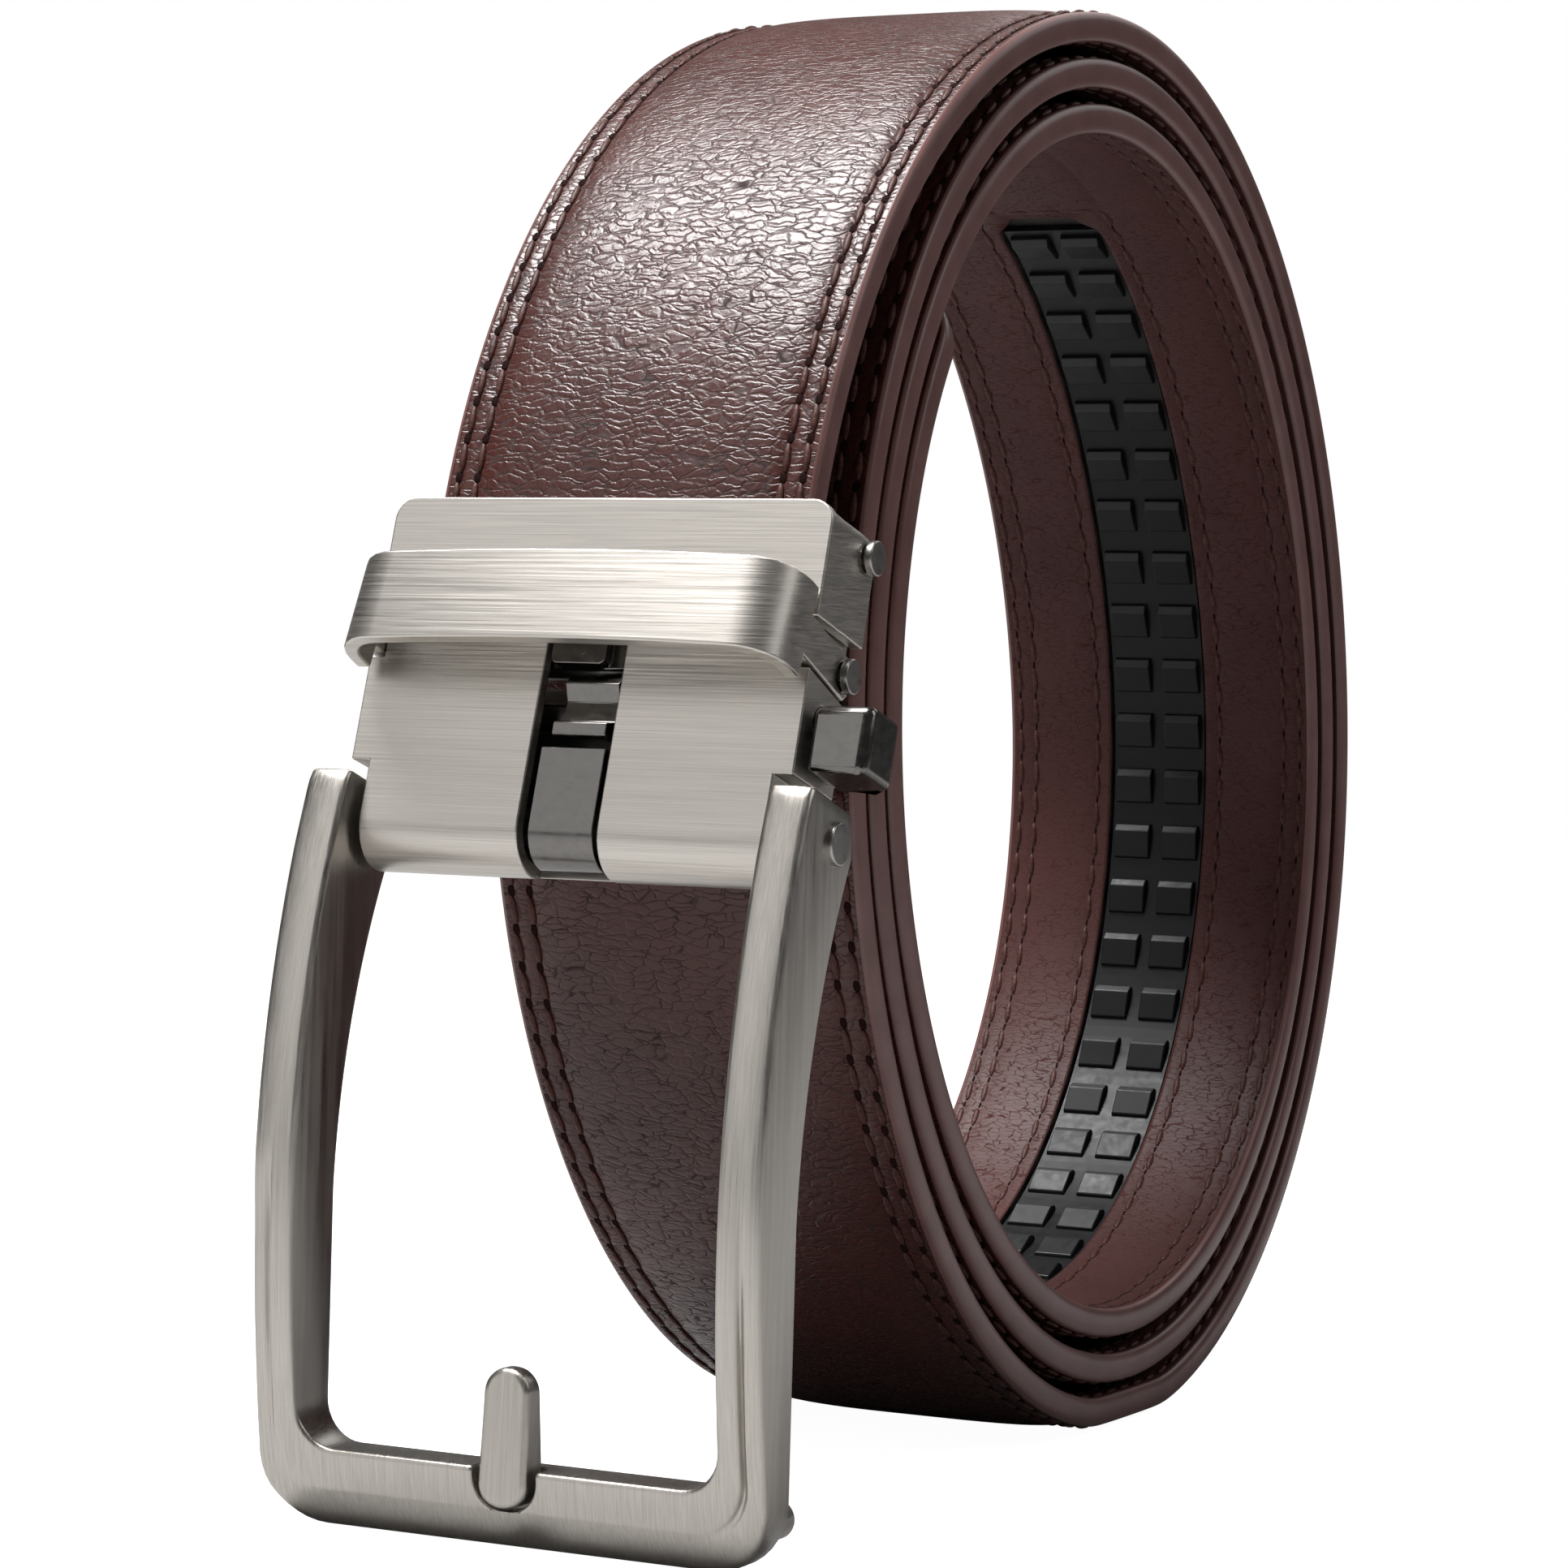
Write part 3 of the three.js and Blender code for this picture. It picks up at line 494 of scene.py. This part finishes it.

# Ratchet track: a black nylon strip with two columns of teeth, sewn under the window in the lining.
# Each tooth has a steep face towards the window's start and a long ramp behind it. The slope between
# them is coloured a little lighter, a painted highlight where it faces the light.
track_width = 10.4 * mm
track_base = 0.5 * mm
tooth_height = 0.85 * mm
tooth_width = 4 * mm
tooth_groove = 1.5 * mm
tooth_pitch = 6.2 * mm
tooth_lead = 0.15
tooth_side = ((0, 0), (0.01, 0.5), (0.14, 1), (0.6, 0.42), (0.62, 0))
tooth_rounding = 0.12 * mm
cuts_per_row = 5
# Painted highlight: tooth faces turned towards the window's start and out of the lining are coloured lighter.
highlight_back, highlight_down = -0.25, -0.5
painted_highlight_color = (0.032, 0.032, 0.034, 1)
nylon_gloss = 0.2
lines_from, lines_to = 0.3, 0.7
glossier, duller = 0.06, 0.08
line_depth = 0.02 * mm
PLAIN, HIGHLIGHTED = range(2)

track_from = window_from + window_chamfer + clearance
track_rows = int((window_to - window_chamfer - clearance - track_from) / tooth_pitch)
track_floor = -strap_thickness / 2 + window_depth - clearance
tooth_foot = track_floor - track_base


def round_off(bm, edges, radius, segments=3):
    """Rounds edges off"""
    bmesh.ops.bevel(
        bm, geom=edges, offset=radius, offset_type="OFFSET", affect="EDGES", segments=segments,
        profile=0.5, material=-1,
    )


teeth = bmesh.new()
bmesh.ops.create_cube(teeth, size=1)
track_length = track_rows * tooth_pitch
bmesh.ops.scale(teeth, verts=teeth.verts, vec=(track_width, track_length, track_base))
track_middle = (0, track_from + track_length / 2, track_floor - track_base / 2)
bmesh.ops.translate(teeth, verts=teeth.verts, vec=track_middle)
runs = [e for e in teeth.edges if abs(e.verts[0].co.y - e.verts[1].co.y) > tooth_pitch]
bmesh.ops.subdivide_edges(teeth, edges=runs, cuts=track_rows * cuts_per_row)
for row in range(track_rows):
    start = track_from + (row + tooth_lead) * tooth_pitch
    for side in (-1, 1):
        inner = side * tooth_groove / 2
        corners = []
        for along, high in tooth_side:
            corner = (inner, start + along * tooth_pitch, tooth_foot - high * tooth_height)
            corners.append(teeth.verts.new(corner))
        draw_out(teeth, [teeth.faces.new(corners)], (side * tooth_width, 0, 0))
ridges = [e for e in teeth.edges if max(v.co.z for v in e.verts) < tooth_foot - tooth_rounding]
round_off(teeth, ridges, tooth_rounding, 2)
bmesh.ops.recalc_face_normals(teeth, faces=teeth.faces)
for face in teeth.faces:
    # Painted highlight: faces turned towards the light take the lighter copy of the plastic.
    face.material_index = HIGHLIGHTED if face.normal.y < highlight_back and face.normal.z < highlight_down else PLAIN
roll_up(teeth)


def brushed(name, base, roughness, stretch, contrast=0.08, depth=0.25, metallic=1.0):
    """A finish with fine lines drawn along one axis: stretch is (x, y, z) per metre"""
    material, tree, shader = material_named(name, roughness, metallic)
    coord = node(tree, "ShaderNodeTexCoord")
    drawn = node(tree, "ShaderNodeMapping", Scale=stretch)
    lines = node(tree, "ShaderNodeTexNoise", Scale=1.0, Detail=4.0, Roughness=0.65)
    tree.links.new(coord.outputs["Object"], drawn.inputs["Vector"])
    tree.links.new(drawn.outputs["Vector"], lines.inputs["Vector"])
    low = tuple(c * (1 - contrast) for c in base)
    high = tuple(min(1, c * (1 + contrast)) for c in base)
    plating = ramp(tree, lines.outputs["Fac"], [(lines_from, low), (lines_to, high)])
    tree.links.new(plating, shader.inputs["Base Color"])
    gloss = node(tree, "ShaderNodeMapRange", From_Min=lines_from, From_Max=lines_to)
    gloss.inputs["To Min"].default_value = roughness - glossier
    gloss.inputs["To Max"].default_value = roughness + duller
    tree.links.new(lines.outputs["Fac"], gloss.inputs["Value"])
    tree.links.new(gloss.outputs["Result"], shader.inputs["Roughness"])
    relief = node(tree, "ShaderNodeBump", Strength=depth, Distance=line_depth)
    tree.links.new(lines.outputs["Fac"], relief.inputs["Height"])
    tree.links.new(relief.outputs["Normal"], shader.inputs["Normal"])
    return material


black_plastic = brushed(
    "track_plastic", (0.0045, 0.005, 0.0055), 0.4, (900, 900, 900), contrast=0.2, metallic=0.0
)
plastic_shader = black_plastic.node_tree.nodes["Principled BSDF"]
plastic_shader.inputs["Specular IOR Level"].default_value = nylon_gloss
# Painted highlight: a lighter copy of the black plastic for the teeth's lit faces.
highlight_plastic = black_plastic.copy()
highlight_plastic.name = "highlight_plastic"
for element in highlight_plastic.node_tree.nodes["Color Ramp"].color_ramp.elements:
    element.color = painted_highlight_color
track = new_piece(teeth, "track", "belt", [black_plastic, highlight_plastic])
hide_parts("ratchet_track")

# Stitches: reddish brown waxed thread, two rows along each edge of the face, which show again on the
# lining, and one row round the window. Each stitch sinks into its needle holes, which are flat ovals of
# painted shade.
stitch_pitch = 3.5 * mm
stitch_length = 2.6 * mm
thread_width = 0.72 * mm
thread_height = 0.5 * mm
thread_turn = math.radians(5)
hole_width, hole_length, hole_depth = 1 * mm, 1.1 * mm, 0.12 * mm
hole_sink = 0.06 * mm
face_sink, lining_sink = 0.02 * mm, 0.06 * mm
row_start = 1 * mm
row_end = strap_length - tip_length - 2 * mm
cross_row_out = 1.7 * mm
cross_row_from, cross_row_to = -1.4 * stitch_pitch, 2.6 * stitch_pitch
THREAD, HOLE_SHADE = range(2)


def stitch_row(x, start, stop, up):
    """A straight row of stitches on the flat strap, as a mesh: its threads and, between them, ovals of
    painted shade for the holes
    """
    row = bmesh.new()
    bmesh.ops.create_uvsphere(row, u_segments=8, v_segments=6, radius=0.5)
    bmesh.ops.rotate(row, verts=row.verts, matrix=Matrix.Rotation(math.pi / 2, 3, "X"))
    bmesh.ops.scale(row, verts=row.verts, vec=(thread_width, stitch_length, thread_height))
    bmesh.ops.rotate(row, verts=row.verts, matrix=Matrix.Rotation(thread_turn, 3, "Z"))
    threads = len(row.faces)
    # Each needle hole is a flat dark oval of painted shade between two stitches.
    hole = bmesh.ops.create_uvsphere(row, u_segments=8, v_segments=4, radius=0.5)["verts"]
    bmesh.ops.scale(row, verts=hole, vec=(hole_width, hole_length, hole_depth))
    bmesh.ops.translate(row, verts=hole, vec=(0, stitch_pitch / 2, -hole_sink))
    for i, face in enumerate(row.faces):
        face.smooth = True
        face.material_index = THREAD if i < threads else HOLE_SHADE
    if up < 0:
        bmesh.ops.rotate(row, verts=row.verts, matrix=Matrix.Rotation(math.pi, 3, "Y"))
    bmesh.ops.translate(row, verts=row.verts, vec=(x, start, up))
    mesh = bpy.data.meshes.new("row")
    row.to_mesh(mesh)
    row.free()
    one = bpy.data.objects.new("row", mesh)
    bpy.context.scene.collection.objects.link(one)
    array = one.modifiers.new("along", "ARRAY")
    array.use_relative_offset = False
    array.use_constant_offset = True
    array.constant_offset_displace = (0, stitch_pitch, 0)
    array.count = int((stop - start) / stitch_pitch)
    made = bmesh.new()
    made.from_object(one, bpy.context.evaluated_depsgraph_get())
    bpy.data.objects.remove(one)
    bpy.data.meshes.remove(mesh)
    return made


def sew(name, rows):
    """Rows of stitches joined and rolled up with the strap"""
    joined = bmesh.new()
    for row in rows:
        mesh = bpy.data.meshes.new("row")
        row.to_mesh(mesh)
        joined.from_mesh(mesh)
        row.free()
        bpy.data.meshes.remove(mesh)
    roll_up(joined)
    return new_piece(joined, name, "belt", [thread_finish, hole_shade])


thread_finish, thread_tree, thread_shader = material_named("waxed_thread", roughness=0.5)
thread_shader.inputs["Specular IOR Level"].default_value = 0.2
thread_coord = node(thread_tree, "ShaderNodeTexCoord")
thread_noise = node(thread_tree, "ShaderNodeTexNoise", Scale=2600.0, Detail=2.0)
thread_tree.links.new(thread_coord.outputs["Object"], thread_noise.inputs["Vector"])
thread_colors = [(0.3, (0.034, 0.0115, 0.009)), (0.75, (0.085, 0.031, 0.024))]
thread_tree.links.new(
    ramp(thread_tree, thread_noise.outputs["Fac"], thread_colors), thread_shader.inputs["Base Color"]
)
thread_relief = node(thread_tree, "ShaderNodeBump", Strength=0.5, Distance=0.1 * mm)
thread_tree.links.new(thread_noise.outputs["Fac"], thread_relief.inputs["Height"])
thread_tree.links.new(thread_relief.outputs["Normal"], thread_shader.inputs["Normal"])
# Painted shade: the needle holes are near-black ovals, not holes cut into the leather.
hole_shade, hole_tree, hole_shader = material_named("needle_hole_shade", roughness=0.9)
hole_shader.inputs["Specular IOR Level"].default_value = 0.05
hole_noise = node(hole_tree, "ShaderNodeTexNoise", Scale=900.0)
hole_shade_colors = [(0.3, (0.008, 0.003, 0.003)), (0.7, (0.016, 0.006, 0.005))]
hole_tree.links.new(ramp(hole_tree, hole_noise.outputs["Fac"], hole_shade_colors), hole_shader.inputs["Base Color"])

face_up = strap_thickness / 2 - face_sink
lining_up = lining_sink - strap_thickness / 2
edge_rows = [side * x for x in stitch_rows for side in (-1, 1)]
sew("face_stitches", [stitch_row(x, row_start, row_end, face_up) for x in edge_rows])
sew("lining_stitches", [stitch_row(x, row_start, row_end, lining_up) for x in edge_rows])
window_rows = [stitch_row(side * window_row, window_from, window_to, lining_up) for side in (-1, 1)]
for end in (window_from - cross_row_out, window_to + cross_row_out):
    across = stitch_row(0, cross_row_from, cross_row_to, lining_up)
    bmesh.ops.rotate(across, verts=across.verts, matrix=Matrix.Rotation(math.pi / 2, 3, "Z"))
    bmesh.ops.translate(across, verts=across.verts, vec=(0, end, 0))
    window_rows.append(across)
sew("window_stitches", window_rows)

# Buckle plates, pins and lever: folded sheet and turned pins, brushed and plated in warm grey nickel.
# The lever, pawl and tongue are smoked nickel, polished. The prong is cast, with a wedge-shaped foot.
merge_distance = 1e-6
flat_angle, sharp_angle, shaded_angle = (math.radians(a) for a in (0.8, 28, 35))
foot_width, width_taper = 1.08, 0.1
tip_back, front_slope, thinning = 0.5, 0.5, 1.3

brushed_across = brushed(
    "brushed_across", (0.52, 0.488, 0.45), 0.36, (60, 300, 9000), contrast=0.22, depth=0.35
)
brushed_along = brushed(
    "brushed_along", (0.45, 0.422, 0.388), 0.33, (7000, 1500, 60), contrast=0.16, depth=0.3
)
satin_pin = brushed("satin_pin", (0.36, 0.345, 0.325), 0.3, (900, 900, 900))
smoked = brushed(
    "smoked_nickel", (0.16, 0.153, 0.146), 0.2, (900, 900, 1500), contrast=0.12, depth=0.08
)


def smooth_shaded(bm, angle):
    """Shades smooth, with edges sharper than the angle kept"""
    for face in bm.faces:
        face.smooth = True
    for edge in bm.edges:
        edge.smooth = not edge.is_manifold or edge.calc_face_angle(0) < angle


def finished(name, node_name, body, material, rounding, reshape=None):
    """A copy of a plain solid with its doubles merged, its flats joined and its sharp edges rounded"""
    bm = bmesh.new()
    bm.from_mesh(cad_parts[node_name].data)
    bmesh.ops.remove_doubles(bm, verts=bm.verts, dist=merge_distance)
    bmesh.ops.dissolve_limit(bm, angle_limit=flat_angle, verts=bm.verts, edges=bm.edges, delimit=set())
    if reshape:
        for v in bm.verts:
            v.co = reshape(v.co)
    round_off(bm, [e for e in bm.edges if e.is_manifold and e.calc_face_angle(0) > sharp_angle], rounding)
    smooth_shaded(bm, shaded_angle)
    piece = new_piece(bm, name, body, [material])
    weighted = piece.modifiers.new("weighted", "WEIGHTED_NORMAL")
    weighted.keep_sharp = True
    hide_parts(node_name)


finished("housing", "buckle_housing", "belt", brushed_across, 0.15 * mm)
finished("cover", "clamp_cover", "belt", brushed_across, 0.18 * mm)
finished("keeper", "keeper_loop", "belt", brushed_across, 0.25 * mm)
finished("upper_rivet", "clamp_pin", "belt", satin_pin, 0.15 * mm)
finished("lower_rivet", "keeper_pin", "belt", satin_pin, 0.15 * mm)
finished("hinge_rod", "hinge_pin", "belt", satin_pin, 0.2 * mm)
finished("tongue", "tongue_plate", "belt", smoked, 0.1 * mm)
finished("stop", "pawl_stop", "belt", smoked, 0.12 * mm)
finished("pawl_tooth", "pawl", "lever", smoked, 0.1 * mm)
finished("lever", "release_lever", "lever", smoked, 0.55 * mm)

prong_low, prong_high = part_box("prong")


def wedge(place):
    """The prong is wider and thicker at its foot than at its tip"""
    up = (place.z - prong_low.z) / (prong_high.z - prong_low.z)
    back = (place.y - prong_low.y) / (prong_high.y - prong_low.y)
    x = middle_x + (place.x - middle_x) * (foot_width - width_taper * up)
    shift = tip_back * up - thinning * up * back + front_slope * back
    return Vector((x, place.y + shift * mm, place.z))


finished("tooth", "prong", "frame", brushed_along, 0.6 * mm, wedge)

# Buckle frame: a bowed U, cast with rounded edges and brushed lengthwise. Each arm has a crease low
# down its front, and outside the crease the front is ground a little lower. Lengths here are in mm,
# but for the roundings of its ends, notch and pegs.
arm_inner, arm_outer = 19.4, 23.3
bar_top, bar_bottom = -50.9, -57.5
inner_corner, outer_corner = 3.5, 5.5
ear_front, ear_back = 4.7, 2.3
front_foot, front_top, front_bow = np.array((8.9, -54.3)), np.array((5.1, 3.6)), 4.4
back_knee, back_heel, back_bow = np.array((4.8, -30)), np.array((-3.3, -1.2)), 1.7
bow_points = 25
front_ends = ((7.2, bar_bottom), (4.3, ear_front))
back_ends = ((4.6, bar_bottom), (-3, ear_back))
arm_steps, corner_steps, bar_steps = 60, 9, 14
rounding_inner, rounding_outer, rounding_back = 0.5, 0.6, 0.4
crease_at, crease_depth, crease_steep, crease_wide = 0.56, 0.6, 0.26, 0.42
crease_offsets = (-0.4, -0.27, -0.18, -0.1, 0, 0.1, 0.22, 0.36, 0.55)
facet_drop, facet_fall, facet_edge = 0.1, 0.35, 0.4
flat_shares, flat_end = (0.33, 0.66, 1), 0.6
corner_turns = [math.radians(90) * i / 4 for i in range(5)]
crown, crown_at, crown_half = 0.16, 0.45, 0.5
ear_slope_from = -20
right_crease_from, right_crease_run = -25, 15
left_crease_from, left_crease_run = -24, 7
left_fade_from, left_fade_run, left_fade = -38, 12, 0.85
cap_rounding, notch_rounding = 0.3 * mm, 0.25 * mm
steep_angle, peg_rim_angle, frame_shading = (math.radians(a) for a in (50, 60, 45))


def bowed(a, b, bow):
    """Points from a to b on a curve that stands out by bow in its middle"""
    across = np.array((-(b - a)[1], (b - a)[0])) / np.linalg.norm(b - a)
    shares = np.linspace(0, 1, bow_points)
    return [a + (b - a) * t - across * 4 * bow * t * (1 - t) for t in shares]


def eased(value):
    """0 below 0, 1 above 1 and smooth between"""
    t = min(max(value, 0), 1)
    return t * t * (3 - 2 * t)


def profile(ends, curve):
    """Depth of the front or back as a function of height"""
    points = np.array([ends[0], *sorted(curve, key=lambda p: p[1]), ends[1]])
    return lambda up: np.interp(up, points[:, 1], points[:, 0])


front_depth = profile(front_ends, bowed(front_foot, front_top, front_bow))
back_depth = profile(back_ends, bowed(back_knee, back_heel, back_bow))


def frame_section(width, depth, crease):
    """The rounded section as (from the inner side, from the back) points"""
    at = width * crease_at

    def front(across):
        wall = crease_steep if across < at else crease_wide
        groove = crease_depth * math.exp(-(((across - at) / wall) ** 2))
        fall = facet_fall * max(0, (across - at) / (width - at))
        facet = facet_drop * eased((across - at) / facet_edge) + fall
        rounding = crown * ((across / width - crown_at) / crown_half) ** 2
        return depth - crease * (groove + facet) - rounding

    columns = [rounding_inner + (at - flat_end - rounding_inner) * share for share in flat_shares]
    columns += [at + offset for offset in crease_offsets]
    columns.append((columns[-1] + width - rounding_outer) / 2)
    low, high = front(rounding_inner), front(width - rounding_outer)
    points = [(0, rounding_back), (0, depth / 2)]
    for a in corner_turns:
        points.append((rounding_inner * (1 - math.cos(a)), low - rounding_inner * (1 - math.sin(a))))
    points += [(column, front(column)) for column in columns]
    for a in corner_turns:
        points.append((width - rounding_outer * (1 - math.sin(a)), high - rounding_outer * (1 - math.cos(a))))
    points += [(width, depth / 2), (width, rounding_back), (width - rounding_back / 4, rounding_back / 4)]
    points += [(width - rounding_back, 0), (width / 2, 0), (rounding_back, 0)]
    points.append((rounding_back / 4, rounding_back / 4))
    return points


stations = []
for i in range(arm_steps):
    t = i / arm_steps
    inner_up = ear_front + t * (bar_top + inner_corner - ear_front)
    outer_up = ear_front + t * (bar_bottom + outer_corner - ear_front)
    right_crease = eased((right_crease_from - inner_up) / right_crease_run)
    faded = left_fade * eased((left_fade_from - inner_up) / left_fade_run)
    left_crease = eased((left_crease_from - inner_up) / left_crease_run) * (1 - faded)
    stations.append(((arm_inner, inner_up), (arm_outer, outer_up), right_crease, left_crease))
for i in range(corner_steps):
    a = math.radians(90) * i / corner_steps
    inside = (arm_inner - inner_corner * (1 - math.cos(a)), bar_top + inner_corner * (1 - math.sin(a)))
    outside = (arm_outer - outer_corner * (1 - math.cos(a)), bar_bottom + outer_corner * (1 - math.sin(a)))
    fading = 1 - eased(i / corner_steps)
    stations.append((inside, outside, fading, (1 - left_fade) * fading))
for i in range(bar_steps):
    share = 1 - i / bar_steps
    inside = ((arm_inner - inner_corner) * share, bar_top)
    outside = ((arm_outer - outer_corner) * share, bar_bottom)
    stations.append((inside, outside, 0, 0))
whole = [(1, *station) for station in stations]
whole.append((1, (0, bar_top), (0, bar_bottom), 0, 0))
whole += [(-1, *station) for station in reversed(stations)]

bm = bmesh.new()
rings = []
for way, inside, outside, right_crease, left_crease in whole:
    inside, outside = np.array(inside), np.array(outside)
    width = np.linalg.norm(outside - inside)
    depth = front_depth(inside[1]) - back_depth(inside[1])
    ring = []
    for a, b in frame_section(width, depth, right_crease if way > 0 else left_crease):
        x, up = inside + (outside - inside) * a / width
        slope = eased((up - ear_slope_from) / (ear_front - ear_slope_from))
        back_up = up - (ear_front - ear_back) * slope
        share = b / depth
        forward = back_depth(back_up) * (1 - share) + front_depth(up) * share
        height = back_up * (1 - share) + up * share
        ring.append(bm.verts.new((middle_x + way * x * mm, hinge.y - forward * mm, hinge.z + height * mm)))
    rings.append([bm.edges.new((ring[i - 1], ring[i])) for i in range(len(ring))])
    if len(rings) > 1:
        bmesh.ops.bridge_loops(bm, edges=rings[-2] + rings[-1])
arm_ends = rings[0] + rings[-1]
bmesh.ops.edgenet_fill(bm, edges=arm_ends)
bmesh.ops.recalc_face_normals(bm, faces=bm.faces)
round_off(bm, arm_ends, cap_rounding)

# The notch that the prong sits in is cut out of the bar, and its rim is rounded.
notch_half, notch_round, notch_low, notch_back = 2.9, 2.7, -54.4, 6.6
notch_high, notch_front = -49.5, 14
notch_steps = 10
rim_half, rim_back = 3.2 * mm, 7 * mm
u_shape = [(notch_half, notch_high)]
for i in range(notch_steps + 1):
    turn = math.radians(90) * i / notch_steps
    inwards, upwards = notch_round * (1 - math.cos(turn)), notch_round * (1 - math.sin(turn))
    u_shape.append((notch_half - inwards, notch_low + upwards))
u_shape += [(-x, up) for x, up in reversed(u_shape)]
cutter = bmesh.new()
notch_y = hinge.y - notch_back * mm
corners = [cutter.verts.new((middle_x + x * mm, notch_y, hinge.z + up * mm)) for x, up in u_shape]
draw_out(cutter, [cutter.faces.new(corners)], (0, (notch_back - notch_front) * mm, 0))
bmesh.ops.recalc_face_normals(cutter, faces=cutter.faces)
helpers = []
for name, shape in (("cast", bm), ("notch", cutter)):
    mesh = bpy.data.meshes.new(name)
    shape.to_mesh(mesh)
    shape.free()
    helpers.append(bpy.data.objects.new(name, mesh))
    bpy.context.scene.collection.objects.link(helpers[-1])
cut = helpers[0].modifiers.new("notch", "BOOLEAN")
cut.operation = "DIFFERENCE"
cut.solver = "EXACT"
cut.object = helpers[1]
bm = bmesh.new()
bm.from_object(helpers[0], bpy.context.evaluated_depsgraph_get())
for helper in helpers:
    bpy.data.meshes.remove(helper.data)
rim = []
for edge in bm.edges:
    in_notch = all(abs(v.co.x - middle_x) < rim_half and v.co.y < hinge.y - rim_back for v in edge.verts)
    if in_notch and edge.is_manifold and edge.calc_face_angle(0) > steep_angle:
        rim.append(edge)
round_off(bm, rim, notch_rounding)

# A round peg stands behind each lower corner.
peg_radius, peg_length = 1.6 * mm, 3.2 * mm
peg_across, peg_up, peg_back = 21.2 * mm, -53.6 * mm, 2.4 * mm
for side in (-1, 1):
    peg_y = hinge.y - peg_back - peg_length / 2
    place = Matrix.Translation((middle_x + side * peg_across, peg_y, hinge.z + peg_up))
    peg = bmesh.ops.create_cone(
        bm, cap_ends=True, segments=32, radius1=peg_radius, radius2=peg_radius, depth=peg_length,
        matrix=place @ Matrix.Rotation(math.pi / 2, 4, "X"),
    )["verts"]
    peg_edges = {e: None for v in peg for e in v.link_edges}
    round_off(bm, [e for e in peg_edges if e.calc_face_angle(0) > peg_rim_angle], cap_rounding)
smooth_shaded(bm, frame_shading)
buckle_frame = new_piece(bm, "frame", "frame", [brushed_along])
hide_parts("buckle_frame")
